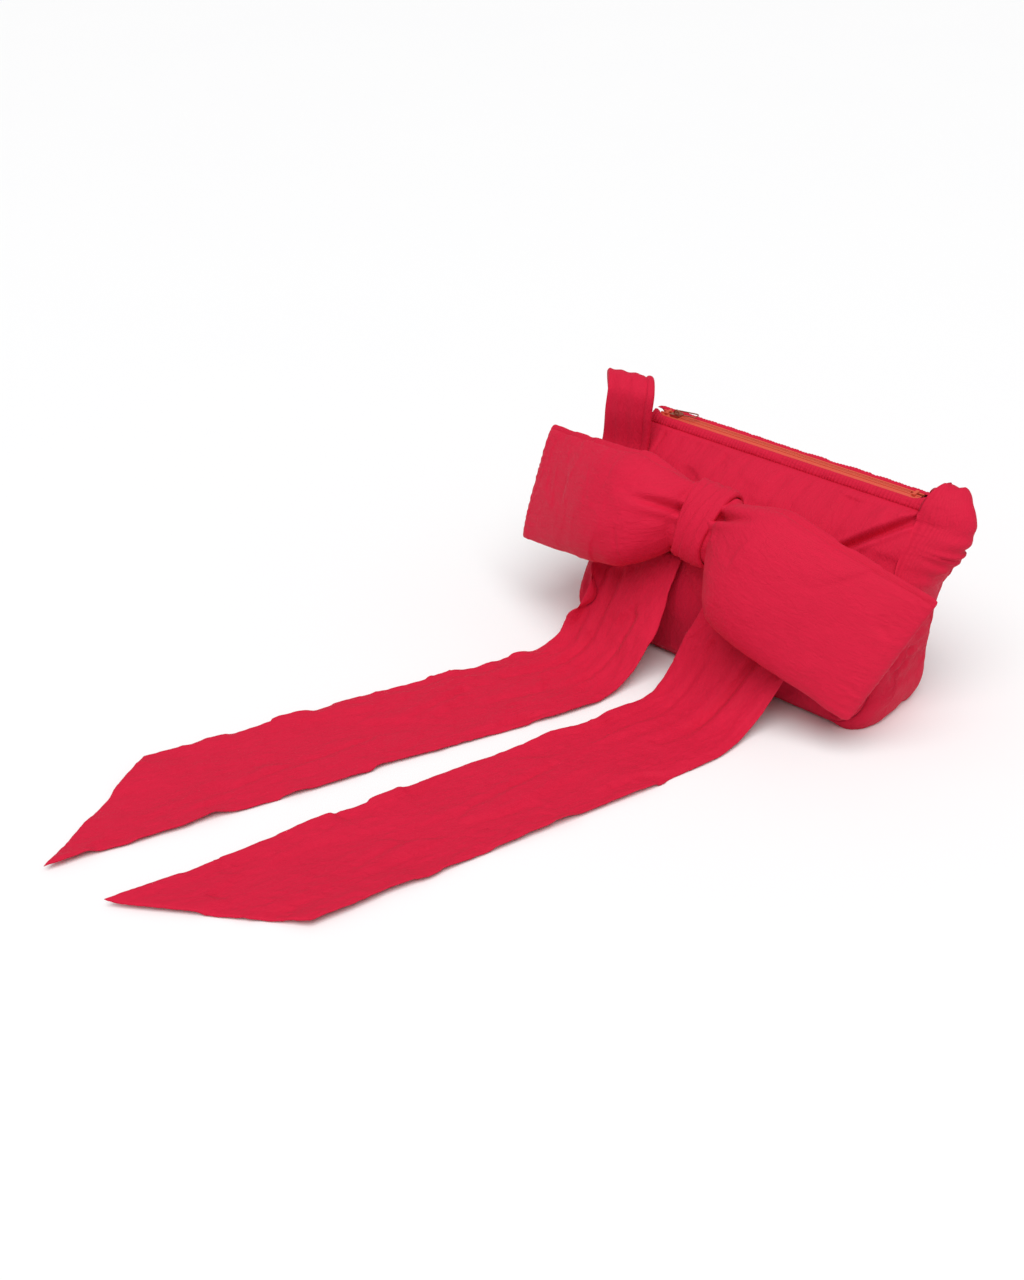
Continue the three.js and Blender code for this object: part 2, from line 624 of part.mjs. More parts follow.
function bowPad() {
  const stationsPerWing = 12;
  const sides = 24;
  const rightWing = Array.from({ length: stationsPerWing + 1 }, (_, k) => (
    lerp(wingStart, WING_SPAN, (k / stationsPerWing) ** 1.5)
  ));
  const leftWing = rightWing.map((x) => -x).reverse();
  const rings = [];
  for (const x of [...leftWing, ...rightWing]) {
    const share = wingShare(x);
    const middle = wingMiddle(x);
    const slope = KNOT_SLOPE + Math.sign(x) * WING_TILT * smoothstep(share, 0, WING_OPEN_SHARE);
    const up = new THREE.Vector3(slope, 1, 0).normalize();
    const opened = Math.sin(Math.min(share / WING_OPEN_SHARE, 1) * (Math.PI / 2));
    const fullHeight = (x < 0 ? LEFT_WING_HEIGHT : RIGHT_WING_HEIGHT) + WING_FLARE * share;
    const halfHeight = lerp(PINCH_HEIGHT, fullHeight, opened) / 2;
    const flatHalfDepth = lerp(PINCH_DEPTH, WING_END_DEPTH, share) / 2;
    const halfDepth = flatHalfDepth + WING_PUFF * wingFullness(x);
    rings.push(Array.from({ length: sides }, (_, s) => {
      const turn = (2 * Math.PI * s) / sides;
      return middle.clone()
        .addScaledVector(up, halfHeight * Math.cos(turn))
        .add(new THREE.Vector3(0, 0, halfDepth * Math.sin(turn)));
    }));
  }
  return loft(rings);
}

function bowKnot() {
  const band = new THREE.Shape();
  band.absellipse(0, 0, knotHalfDepth, knotHalfHeight, 0, 2 * Math.PI);
  const opening = new THREE.Path();
  opening.absellipse(0, 0, knotHalfDepth - KNOT_WALL, knotHalfHeight - KNOT_WALL, 0, 2 * Math.PI, true);
  band.holes.push(opening);
  const geometry = new THREE.ExtrudeGeometry(band, {
    depth: KNOT_WIDTH, bevelEnabled: false, curveSegments: 16,
  });
  geometry.translate(0, 0, -KNOT_WIDTH / 2);
  geometry.rotateY(Math.PI / 2);
  geometry.rotateZ(knotTurn);
  return geometry.translate(KNOT_OFFSET, KNOT_HEIGHT_UP, knotLift);
}

// Ribbons

// A flat band along stations that each give its middle, its width direction and its half width.
function ribbon(stations, wall, columns) {
  const outer = [];
  const inner = [];
  stations.forEach((station, k) => {
    const before = stations[Math.max(k - 1, 0)].middle;
    const after = stations[Math.min(k + 1, stations.length - 1)].middle;
    const face = after.clone().sub(before).cross(station.across).normalize();
    const row = (side) => Array.from({ length: columns + 1 }, (_, j) => {
      const q = (2 * j) / columns - 1;
      return station.middle.clone()
        .addScaledVector(station.across, q * station.half)
        .addScaledVector(face, (side * wall) / 2);
    });
    outer.push(row(1));
    inner.push(row(-1));
  });
  return slab(outer, inner);
}

// A sash tail: sewn on behind the bow, down the front and then flat along the floor.
function sashTail(drop, heading, inner) {
  const rows = 26;
  const columns = 4;
  const landing = drop.at(-1);
  const run = [1, 2, 3, 4, 5].map((k) => (
    new THREE.Vector3(-Math.sin(heading), -Math.cos(heading), 0)
      .multiplyScalar((TAIL_LENGTH * k) / 4)
      .add(landing)
  ));
  const route = new THREE.CatmullRomCurve3([...drop, ...run]);
  route.arcLengthDivisions = 600;
  const total = route.getLength();
  const dropLength = new THREE.CatmullRomCurve3(drop).getLength();
  const rootAcross = X_AXIS.clone().addScaledVector(frontOut, inner * TAIL_ROOT_LEAN);
  const floorAcross = new THREE.Vector3(Math.cos(heading), -Math.sin(heading), 0);
  const outerGrid = [];
  const innerGrid = [];
  for (let i = 0; i <= rows; i += 1) {
    const top = [];
    const under = [];
    for (let j = 0; j <= columns; j += 1) {
      const q = (2 * j) / columns - 1;
      const distance = (i / rows) * (TAIL_LENGTH + (inner * q * TAIL_CUT) / 2);
      const middle = route.getPointAt(distance / total);
      const along = route.getTangentAt(distance / total);
      const turned = smoothstep(distance, 0, dropLength);
      const across = rootAcross.clone().lerp(floorAcross, turned).normalize();
      const face = across.clone().cross(along).normalize();
      const spread = smoothstep(distance, 0, TAIL_SPREAD);
      const half = lerp(TAIL_START_WIDTH, TAIL_WIDTH, spread) / 2;
      middle.z = Math.max(middle.z, TAIL_WALL / 2);
      middle.addScaledVector(across, q * half);
      const flat = 1 - smoothstep(middle.z, TAIL_WALL / 2, 2 * TAIL_WALL);
      face.lerp(new THREE.Vector3(0, 0, Math.sign(face.z)), flat).normalize();
      top.push(middle.clone().addScaledVector(face, TAIL_WALL / 2));
      under.push(middle.clone().addScaledVector(face, -TAIL_WALL / 2));
    }
    outerGrid.push(top);
    innerGrid.push(under);
  }
  const geometry = slab(outerGrid, innerGrid);
  const position = geometry.attributes.position;
  for (let k = 0; k < position.count; k += 1) {
    position.setZ(k, Math.max(position.getZ(k), 0));
  }
  return geometry;
}

// The strap rises in front of the left end of the zip, folds over and hangs in a U behind the bag.
// Each station is a place on its route and the direction of its width there.
function shoulderStrap() {
  const steps = 60;
  const columns = 2;
  const left = -HALF_WIDTH;
  const right = HALF_WIDTH;
  const mouth = zipMiddle.y;
  const top = zipMiddle.z;
  const behind = backBase.y + BACK_PUFF + 2 * PAD_MIDDLE;
  const half = STRAP_WIDTH / 2;
  const hang = half + STRAP_LIFT;
  const seamFront = frontBase.clone().addScaledVector(frontUp, FRONT_HEIGHT - TOP_CORNER_RADIUS);
  const seamBack = backBase.clone().addScaledVector(backUp, backHeight - TOP_CORNER_RADIUS);
  const endAcross = seamFront.clone().sub(seamBack).normalize();
  const endUp = new THREE.Vector3(0, endAcross.z, -endAcross.y);
  const gussetEnd = seamFront.clone().lerp(seamBack, 0.5).setX(right + GUSSET_CROWN - GUSSET_WALL / 2);
  const sewnEnd = gussetEnd.clone().addScaledVector(endUp, 2 * SEAM_GAP);
  const risingEnd = gussetEnd.clone().addScaledVector(endUp, STRAP_WIDTH / 5);
  const stations = [
    [[left + 2, mouth - 37, top - 21], [0.98, 0.2, 0]],
    [[left + 2, mouth - 36, top + 9], [0.98, 0.2, 0]],
    [[left + 1, mouth - 33, top + 26], [0.98, 0.2, 0]],
    [[left - 8, mouth - 22, top + 34], [0.98, 0.2, 0]],
    [[left - 21, mouth - 8, top + 27], [0.97, 0.2, 0]],
    [[left - 31, mouth + 5, top + 4], [0.98, 0.1, 0.1]],
    [[left - 32, mouth + 15, top - 25], [0.98, 0, 0.1]],
    [[left - 22, behind - 8, top - 64], [0.97, 0, 0.2]],
    [[left + 2, behind - 2, hang + 37], [0.8, 0, 0.6]],
    [[left + 46, behind, hang + 8], [0.35, 0, 0.93]],
    [[left / 3, behind, hang], [0, 0, 1]],
    [[right / 9, behind, hang], [0, 0, 1]],
    [[right - 88, behind, hang + 12], [-0.4, 0, 0.92]],
    [[right - 50, behind - 1, hang + 42], [-0.75, 0, 0.66]],
    [[right - 24, behind - 2, top - 62], [-0.94, 0, 0.34]],
    [[right + half - 39, mouth + 33, top - 22], [-1, -0.1, 0.1]],
    [[right + 1.4 * half - 41, mouth + 31, top - 4], [-0.93, -0.35, 0]],
    [[right + 1.4 * half - 32, mouth + 18, top + 8.5], [-0.42, -0.9, -0.05]],
    [risingEnd.toArray(), endAcross.toArray()],
    [sewnEnd.toArray(), endAcross.toArray()],
  ];
  const middles = new THREE.CatmullRomCurve3(stations.map(([place]) => new THREE.Vector3(...place)));
  const turns = new THREE.CatmullRomCurve3(stations.map(([, across]) => new THREE.Vector3(...across)));
  return ribbon(Array.from({ length: steps + 1 }, (_, k) => ({
    middle: middles.getPoint(k / steps),
    across: turns.getPoint(k / steps).normalize(),
    half,
  })), STRAP_WALL, columns);
}

// Assembly

const bag = new THREE.Group();

bag.add(
  named('front_panel', paddedPanel(frontBase, frontUp, frontOut, FRONT_HEIGHT, FRONT_PUFF), cloth),
  named('back_panel', paddedPanel(backBase, backUp, backOut, backHeight, BACK_PUFF), cloth),
  named('side_gusset', sideGusset(), cloth),
  named('lining', liningPouch(), liningCloth),
  named('shoulder_strap', shoulderStrap(), cloth),
);

const zip = new THREE.Group();
zip.position.copy(zipMiddle);
zip.rotation.x = ZIP_TILT;
zip.add(
  named('zip_half_front', zipHalf(-1), zipPlastic),
  named('zip_half_rear', zipHalf(1), zipPlastic),
  named('zip_stop_top_front', zipStop(ZIP_LEFT - 2 * STOP_LENGTH, [-1]), zipPlastic),
  named('zip_stop_top_rear', zipStop(ZIP_LEFT - 2 * STOP_LENGTH, [1]), zipPlastic),
  named('zip_stop_bottom', zipStop(zipRight + STOP_LENGTH, [-1, 1]), zipPlastic),
  named('zip_welt_front', zipWelt(-1), cloth),
  named('zip_welt_rear', zipWelt(1), cloth),
);
const sliderSeat = new THREE.Group();
sliderSeat.position.x = ZIP_LEFT + SLIDER_LENGTH / 2;
const slider = named('zip_slider', zipSlider(), zipMetal);
const puller = named('zip_puller', zipPuller(), zipMetal);
puller.position.z = hingeHeight;
puller.rotation.y = -PULLER_REST;
sliderSeat.add(slider, puller);
zip.add(sliderSeat);
bag.add(zip);

const bow = new THREE.Group();
bow.position.copy(frontBase);
bow.rotation.x = Math.PI / 2 - FRONT_LEAN;
bow.add(named('bow_pad', bowPad(), cloth), named('bow_knot', bowKnot(), cloth));
bag.add(bow);

// Each tail leaves the knot's foot behind the wing, hangs clear of the front and lands ahead of the base.
const tailRoot = KNOT_HEIGHT_UP - knotHalfHeight - 2 * KNOT_WALL;
const tailFloor = TAIL_WALL / 2;
bag.add(
  named('tail_left', sashTail([
    aheadOfFront(KNOT_OFFSET - 62, tailRoot, 7),
    aheadOfFront(KNOT_OFFSET - 64, tailRoot * 0.63, 15),
    aheadOfFront(KNOT_OFFSET - 65, tailRoot * 0.16, 30),
    new THREE.Vector3(KNOT_OFFSET - 66, -BASE_FRONT - 52, 11),
    new THREE.Vector3(KNOT_OFFSET - 69, -BASE_FRONT - 88, tailFloor),
  ], LEFT_TAIL_HEADING, 1), cloth),
  named('tail_right', sashTail([
    aheadOfFront(KNOT_OFFSET + 58, tailRoot, 3.4),
    aheadOfFront(KNOT_OFFSET + 62, tailRoot * 0.63, 13),
    aheadOfFront(KNOT_OFFSET + 56, tailRoot * 0.16, 28),
    new THREE.Vector3(KNOT_OFFSET + 53, -BASE_FRONT - 51, 12),
    new THREE.Vector3(KNOT_OFFSET + 53, -BASE_FRONT - 90, tailFloor),
  ], RIGHT_TAIL_HEADING, -1), cloth),
);

const label = named('side_label', new THREE.BoxGeometry(LABEL_WALL, LABEL_WIDTH, LABEL_HEIGHT), labelCloth);
label.position.set(-HALF_WIDTH - GUSSET_CROWN - SEAM_GAP - LABEL_WALL / 2, -BASE_FRONT / 3, LABEL_UP);
bag.add(label);

export default bag;
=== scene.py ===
import math

import bpy
import numpy as np
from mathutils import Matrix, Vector


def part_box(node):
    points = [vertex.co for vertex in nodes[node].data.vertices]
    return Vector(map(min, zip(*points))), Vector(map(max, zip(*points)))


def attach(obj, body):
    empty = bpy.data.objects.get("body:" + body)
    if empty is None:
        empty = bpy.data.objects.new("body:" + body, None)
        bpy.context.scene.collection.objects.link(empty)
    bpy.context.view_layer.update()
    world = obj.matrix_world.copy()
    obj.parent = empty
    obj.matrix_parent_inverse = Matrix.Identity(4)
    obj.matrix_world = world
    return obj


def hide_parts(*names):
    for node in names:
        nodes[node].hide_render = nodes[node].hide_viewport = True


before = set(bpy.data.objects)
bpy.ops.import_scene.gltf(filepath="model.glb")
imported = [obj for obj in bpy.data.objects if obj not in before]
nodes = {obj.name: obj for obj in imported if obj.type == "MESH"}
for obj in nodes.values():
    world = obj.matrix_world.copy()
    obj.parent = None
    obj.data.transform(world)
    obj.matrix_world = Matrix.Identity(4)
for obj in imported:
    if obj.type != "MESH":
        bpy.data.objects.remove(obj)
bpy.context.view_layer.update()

# Shapes are worked out in millimetres in the part's frame (+Z up, the front towards -Y)
# and become metres when a mesh is written.
MM = 0.001

# Bag body
HALF_WIDTH = 150.0
FRONT_HEIGHT = 183.0
FRONT_LEAN = math.radians(31)
BASE_FRONT = 50.0
BASE_DEPTH = 94.0
CORNER_RADIUS = 24.0
TOP_CORNER_RADIUS = 10.0
FRONT_PUFF = 33.0
BACK_PUFF = 28.0
PAD_EDGE = 3.0
PAD_MIDDLE = 9.0
GUSSET_WALL = 5.0
GUSSET_CROWN = 6.0
CORNER_SWELL = 24.0  # outward stuffing of the upper right corner
CORNER_FULLER = 1.16  # how much fuller the cloth is there than the CAD solid
CORNER_LAP = 14.0  # how far the gusset laps over the front at that corner
LAP_CLEARANCE = 1.5
CORNER_TOP = np.array([-3.0, 5.0, 29.0])  # top of the right dome from its hub
LEFT_TOP = np.array([10.0, 0.0, 14.0])
LOWER_CORNER_SWELL = 11.0
GATHER_PITCH = 14.0
PUFF_CURVE = 0.88
SEAM_GAP = 0.3
LINING_GAP = 1.6
LINING_WALL = 1.2
LINING_LIFT = 4.0

# Zip
ZIP_TILT = math.radians(5)
ZIP_LEFT = -127.0
ZIP_RIGHT = ZIP_LEFT + 96 * 2.54
TAPE_WIDTH = 9.6
TAPE_DROOP = math.radians(35)
TAPE_WALL = 0.8
TAPE_TAIL = 11.0
BEAD_OUTER = 2.9
WELT_INNER = 2.4
WELT_OUTER = 9.4
WELT_HEIGHT = 3.0
WELT_SPREAD = 2.6
RUCHE_PITCH = 3.1
FACING_PAST_LEFT = 7.0  # facing beyond the tape's tail at each end
FACING_PAST_RIGHT = 16.0
CHAIN_COVER = 5.5  # how far the facings close in beyond the chain

# Bow
KNOT_OFFSET = -13.0
KNOT_HEIGHT_UP = 113.5
KNOT_WIDTH = 39.0
KNOT_WALL = 4.0
KNOT_CLEARANCE = 0.8
KNOT_SLOPE = 0.088
PINCH_HEIGHT = 60.0
PINCH_DEPTH = 32.0
LEFT_WING_SPAN = 196.0
RIGHT_WING_SPAN = 190.0
LEFT_WING_HEIGHT = 98.0
RIGHT_WING_HEIGHT = 111.0
WING_FLARE = 6.0
WING_END_DEPTH = 14.0
WING_PUFF = 15.0
WING_FULL_CURVE = 0.6
WING_SAG = 34.5
WING_OPEN_SHARE = 0.3
WING_TILT = 0.21
WING_SETBACK = 23.5
WING_SAG_CURVE = 0.5
WING_FORWARD = 12.0
WING_END_ROUND = 8.0
WING_EDGE_ROUND = 6.0
LAYER_VALLEY = 5.0  # between the two layers along a wing's top
LAYER_PEEK = 3.0
LEFT_CREASE = ((-17, 117), (-62, 112))  # from the knot outwards: across, up the slope
RIGHT_CREASE = ((19, 122), (55, 131))
KNOT_PLEATS = ((-9.5, 3.5), (0.3, 5.3), (9.5, 3.5))  # place across the band, slant
PLEAT_STEP = 1.3

# Tails and strap
TAIL_WIDTH = 101.0
TAIL_LENGTH = 544.0
TAIL_CUT = 108.0
TAIL_WALL = 2.4
TAIL_START_WIDTH = 84.0
TAIL_SPREAD = 75.0
TAIL_ROOT_LEAN = 0.14
LEFT_TAIL_TUCK = 9.0  # length out of sight behind the bow
RIGHT_TAIL_TUCK = 20.0
TAIL_RAISE = 9.0  # how far up behind the bow a tail starts
LEFT_TAIL_HEADING = math.radians(18.6)
RIGHT_TAIL_HEADING = math.radians(13.1)
STRAP_WIDTH = 46.0
STRAP_WALL = 5.0
STRAP_LIFT = 2.5
STRAP_TAPER = 75.0  # length over which it narrows into the right corner
STRAP_END_SHARE = 0.5

# The sharp fold on the front, from the right corner in under the bow: across, up the slope
FOLD_TOP = (141, 181)
FOLD_FOOT = (84, 124)
FOLD_WIDTH = 2.6
FOLD_DEPTH = 8.5
TUCK_PLACE = (143, 174)
DIAGONAL = 0.707

# Light and camera
SUN_FROM = (0.26, -0.36, 1.0)
SUN_SPREAD = 56
SUN_POWER = 2.35
SKY_POWER = 0.42
FLOOR_REACH = 6.0
LENS_PIXELS = 1715.0
IMAGE_LONG_SIDE = 1280.0
SENSOR = 36.0
CAMERA_PLACE = (0.7325, -1.0955, 0.762)
CAMERA_AZIMUTH = math.radians(42.5)
CAMERA_ELEVATION = math.radians(30)

# Worked-out places
X_AXIS = np.array([1.0, 0.0, 0.0])
Z_AXIS = np.array([0.0, 0.0, 1.0])
front_up = np.array([0.0, math.sin(FRONT_LEAN), math.cos(FRONT_LEAN)])
front_out = np.array([0.0, -math.cos(FRONT_LEAN), math.sin(FRONT_LEAN)])
front_base = np.array([0.0, -BASE_FRONT, GUSSET_CROWN])
front_top = front_base + front_up * FRONT_HEIGHT
zip_across = np.array([0.0, math.cos(ZIP_TILT), math.sin(ZIP_TILT)])
zip_up = np.array([0.0, -math.sin(ZIP_TILT), math.cos(ZIP_TILT)])
tape_reach = BEAD_OUTER + TAPE_WIDTH * math.cos(TAPE_DROOP) + 2 * SEAM_GAP
tape_fall = TAPE_WIDTH * math.sin(TAPE_DROOP) + 2 * SEAM_GAP
zip_middle = front_top + zip_across * tape_reach + zip_up * tape_fall
back_base = np.array([0.0, BASE_DEPTH - BASE_FRONT, GUSSET_CROWN])
back_top = zip_middle + zip_across * tape_reach - zip_up * tape_fall
BACK_HEIGHT = float(np.linalg.norm(back_top - back_base))
back_up = (back_top - back_base) / BACK_HEIGHT
back_out = np.array([0.0, back_up[2], -back_up[1]])
knot_half_height = PINCH_HEIGHT / 2 + KNOT_CLEARANCE + KNOT_WALL
knot_half_depth = PINCH_DEPTH / 2 + KNOT_CLEARANCE + KNOT_WALL
knot_turn = -math.atan(KNOT_SLOPE)
knot_lift = 2 * SEAM_GAP + FRONT_PUFF + PAD_MIDDLE + knot_half_depth
wing_start = KNOT_WIDTH / 2 + 2 * KNOT_CLEARANCE


# Numbers over grids


def ramp(x, low, high):
    """Nothing below low, one above high, and a smooth S between them."""
    t = np.clip((x - low) / (high - low), 0, 1)
    return t * t * (3 - 2 * t)


def mix(a, b, t):
    """A straight mix of a and b by the share t."""
    return a + (b - a) * t


def bell(x, middle, width):
    """One at the middle, falling off as a Gaussian of the width."""
    return np.exp(-(((x - middle) / width) ** 2))


def unit(v):
    """Each vector of a grid at length one."""
    return v / np.linalg.norm(v, axis=-1, keepdims=True)


def grid(*parts):
    """Parts of a point, each a grid of its own, stacked into a grid of vectors."""
    return np.stack(np.broadcast_arrays(*parts), axis=-1)


def waves(p, size, seed, count=9):
    """Wandering bumps of about plus or minus one: a sum of sine waves along seeded headings,
    each one's phase pushed by the sum of those before it."""
    draw = np.random.default_rng(seed)
    total = np.zeros(p.shape[:-1])
    for _ in range(count):
        heading = draw.normal(size=p.shape[-1])
        heading /= np.linalg.norm(heading)
        length = size * draw.uniform(0.6, 1.6)
        phase = draw.uniform(0, 2 * np.pi)
        total = total + np.sin(2 * np.pi * (p @ heading) / length + phase + 0.8 * total)
    return total / math.sqrt(count)


def ridges(value):
    """Sharp crests and round valleys from a smooth wave: one minus twice its size."""
    return 1 - 2 * np.abs(np.sin(value))


def crease(x, y, start, end, width, depth, far=0.0):
    """A fold along a line in flat coordinates: a narrow valley with a soft lip on each side.
    Its depth runs from full at the start to the far share at the end."""
    run = np.subtract(end, start)
    share = ((x - start[0]) * run[0] + (y - start[1]) * run[1]) / (run @ run)
    held = np.clip(share, 0, 1)
    away = np.hypot(x - start[0] - held * run[0], y - start[1] - held * run[1])
    strength = depth * mix(1.0, far, held)
    return strength * (0.4 * bell(away, 2.2 * width, 1.3 * width) - bell(away, 0, width))


def edge_spaced(count, crowd=0.45):
    """Places from minus one to one that crowd towards both ends: a straight run mixed with
    a sine."""
    t = np.linspace(-1, 1, count)
    return mix(t, np.sin(t * np.pi / 2), crowd)


def smooth_path(points, t):
    """A centripetal Catmull-Rom curve through points, at shares t of its count of spans:
    on each span a cubic whose end slopes come from the square roots of the chords."""
    points = np.asarray(points, float)
    before = 2 * points[0] - points[1]
    after = 2 * points[-1] - points[-2]
    full = np.vstack([before, points, after])
    spans = len(points) - 1
    place = np.clip(np.asarray(t) * spans, 0, spans - 1e-9)
    k = place.astype(int)
    w = (place - k)[:, None]
    p0, p1, p2, p3 = (full[k + n] for n in range(4))
    d0, d1, d2 = (
        np.maximum(np.linalg.norm(b - a, axis=-1, keepdims=True) ** 0.5, 1e-4)
        for a, b in ((p0, p1), (p1, p2), (p2, p3))
    )
    t1 = ((p1 - p0) / d0 - (p2 - p0) / (d0 + d1) + (p2 - p1) / d1) * d1
    t2 = ((p2 - p1) / d1 - (p3 - p1) / (d1 + d2) + (p3 - p2) / d2) * d1
    return (
        p1
        + t1 * w
        + (-3 * p1 + 3 * p2 - 2 * t1 - t2) * w**2
        + (2 * p1 - 2 * p2 + t1 + t2) * w**3
    )


# Meshes


def piece_from(name, points, faces, uv, finish):
    """A smooth-shaded object from points in millimetres, quads and a flat cloth place for each
    point. Faces are turned so that the enclosed volume is positive."""
    corners = points[faces]
    fan = np.einsum(
        "ij,ij->i", corners[:, 0], np.cross(corners[:, 1], corners[:, 2])
    ) + np.einsum("ij,ij->i", corners[:, 0], np.cross(corners[:, 2], corners[:, 3]))
    if fan.sum() < 0:
        faces = faces[:, ::-1]
    mesh = bpy.data.meshes.new(name)
    mesh.from_pydata((points * MM).tolist(), [], faces.tolist())
    layer = mesh.uv_layers.new(name="cloth")
    corner_points = np.empty(len(mesh.loops), np.int32)
    mesh.loops.foreach_get("vertex_index", corner_points)
    layer.data.foreach_set("uv", (uv[corner_points] * MM).astype(np.float32).ravel())
    mesh.polygons.foreach_set("use_smooth", np.ones(len(mesh.polygons), bool))
    mesh.materials.append(finish)
    mesh.update()
    obj = bpy.data.objects.new(name, mesh)
    bpy.context.scene.collection.objects.link(obj)
    return obj


def skin(name, rings, uv, finish, looped=False):
    """A closed skin over rows of points. Each row is a loop that goes along the outer side and back
    along the inner side; rows join into a ring, or the first and last are closed between their
    sides."""
    rows, around = rings.shape[:2]
    at = np.arange(rows * around).reshape(rows, around)
    low = at if looped else at[:-1]
    high = np.roll(at, -1, axis=0) if looped else at[1:]
    faces = [np.stack([low, np.roll(low, -1, 1), np.roll(high, -1, 1), high], -1).reshape(-1, 4)]
    if not looped:
        half = around // 2
        for row, step in ((at[0], -1), (at[-1], 1)):
            out, back = row[:half], row[half:][::-1]
            cap = np.stack([out[:-1], out[1:], back[1:], back[:-1]], -1)
            faces.append(cap[:, ::step])
    return piece_from(name, rings.reshape(-1, 3), np.vstack(faces), uv.reshape(-1, 2), finish)


def both_sides(outer, inner):
    """Rows that run along the outer grid and back along the inner grid."""
    return np.concatenate([outer, inner[:, ::-1]], axis=1)


def settle(obj, node):
    """The piece rides on the bag in place of a CAD node, which is hidden."""
    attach(obj, "bag")
    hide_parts(node)
    return obj


# Materials


def new_group(name, inputs, outputs):
    """An empty shader group with named sockets."""
    group = bpy.data.node_groups.new(name, "ShaderNodeTree")
    for label, kind, value in inputs:
        socket = group.interface.new_socket(label, in_out="INPUT", socket_type=kind)
        if value is not None:
            socket.default_value = value
    for label, kind in outputs:
        group.interface.new_socket(label, in_out="OUTPUT", socket_type=kind)
    return group, group.nodes.new("NodeGroupInput"), group.nodes.new("NodeGroupOutput")


def math_node(tree, operation, a, b=None):
    """One Math node; its inputs are links or plain numbers."""
    node = tree.nodes.new("ShaderNodeMath")
    node.operation = operation
    for socket, value in zip(node.inputs, (a, b)):
        if value is None:
            continue
        if isinstance(value, (int, float)):
            socket.default_value = value
        else:
            tree.links.new(value, socket)
    return node.outputs[0]


def noise_node(tree, vector, scale, detail, roughness=0.5, distortion=0.0):
    """Noise over the given place."""
    node = tree.nodes.new("ShaderNodeTexNoise")
    node.inputs["Scale"].default_value = scale
    node.inputs["Detail"].default_value = detail
    node.inputs["Roughness"].default_value = roughness
    node.inputs["Distortion"].default_value = distortion
    tree.links.new(vector, node.inputs["Vector"])
    return node.outputs["Fac"]


def stretched(tree, vector, across, along):
    """The cloth place, scaled differently across and along the grain."""
    node = tree.nodes.new("ShaderNodeMapping")
    node.inputs["Scale"].default_value = (across, along, 1.0)
    tree.links.new(vector, node.inputs["Vector"])
    return node.outputs["Vector"]


def mixed_colour(tree, share, a, b):
    """A colour mix by a share; a and b are links or plain colours."""
    node = tree.nodes.new("ShaderNodeMix")
    node.data_type = "RGBA"
    tree.links.new(share, node.inputs["Factor"])
    for socket, value in ((node.inputs["A"], a), (node.inputs["B"], b)):
        if isinstance(value, tuple):
            socket.default_value = value
        else:
            tree.links.new(value, socket)
    return node.outputs["Result"]


def crinkled_cloth_group():
    """Crinkled plain weave: streaks of fine crinkle along the grain, a weave of two crossed waves,
    and slow drifts of tone. Its colour holds painted shade of the crinkle, lighter on the streaks'
    crests and darker in their low parts, mixed with the slow random drifts of tone. It puts out
    colour, roughness and height."""
    group, given, put = new_group(
        "crinkled cloth",
        [
            ("Cloth Place", "NodeSocketVector", None),
            ("Tone", "NodeSocketColor", (0.6, 0.01, 0.04, 1)),
            ("Deep Tone", "NodeSocketColor", (0.4, 0.006, 0.025, 1)),
            ("Crinkle", "NodeSocketFloat", 1.0),
        ],
        [
            ("Color", "NodeSocketColor"),
            ("Roughness", "NodeSocketFloat"),
            ("Height", "NodeSocketFloat"),
        ],
    )
    place = given.outputs["Cloth Place"]
    fine_place = stretched(group, place, 330, 70)
    streaks = noise_node(group, fine_place, 1.0, 3.0, roughness=0.6, distortion=0.8)
    puckers = noise_node(group, stretched(group, place, 150, 90), 1.0, 2.0, distortion=1.2)
    drift = noise_node(group, stretched(group, place, 18, 9), 1.0, 2.0)
    weave_x = group.nodes.new("ShaderNodeTexWave")
    weave_y = group.nodes.new("ShaderNodeTexWave")
    for wave, direction in ((weave_x, "X"), (weave_y, "Y")):
        wave.bands_direction = direction
        wave.inputs["Scale"].default_value = 320
        wave.inputs["Distortion"].default_value = 1.5
        wave.inputs["Detail"].default_value = 1.0
        wave.inputs["Detail Scale"].default_value = 0.4
        group.links.new(place, wave.inputs["Vector"])
    weave = math_node(group, "MULTIPLY", weave_x.outputs["Fac"], weave_y.outputs["Fac"])
    fold = math_node(group, "ABSOLUTE", math_node(group, "SUBTRACT", puckers, 0.5))
    crinkle = math_node(group, "ADD", streaks, math_node(group, "MULTIPLY", fold, 1.6))
    scaled = math_node(group, "MULTIPLY", crinkle, given.outputs["Crinkle"])
    height = math_node(group, "ADD", scaled, math_node(group, "MULTIPLY", weave, 0.25))
    # Painted shade: the colour follows the crinkle streaks that also raise the height, lighter on
    # their crests and darker in their low parts; the slow drift adds random tone on top.
    shade = math_node(group, "ADD", math_node(group, "MULTIPLY", streaks, 0.7), 0.12)
    crinkle_shade_and_drift = math_node(group, "ADD", shade, math_node(group, "MULTIPLY", drift, 0.35))
    colour = mixed_colour(group, crinkle_shade_and_drift, given.outputs["Deep Tone"], given.outputs["Tone"])
    rough = math_node(group, "ADD", math_node(group, "MULTIPLY", streaks, 0.25), 0.55)
    group.links.new(colour, put.inputs["Color"])
    group.links.new(rough, put.inputs["Roughness"])
    group.links.new(height, put.inputs["Height"])
    return group


def bare_material(name):
    """A new material with its shader and its tree."""
    made = bpy.data.materials.new(name)
    made.use_nodes = True
    return made, made.node_tree, made.node_tree.nodes["Principled BSDF"]


def bump(tree, shader, height, strength, distance):
    """Height pressed into the shader's normal."""
    node = tree.nodes.new("ShaderNodeBump")
    node.inputs["Strength"].default_value = strength
    node.inputs["Distance"].default_value = distance
    tree.links.new(height, node.inputs["Height"])
    tree.links.new(node.outputs["Normal"], shader.inputs["Normal"])


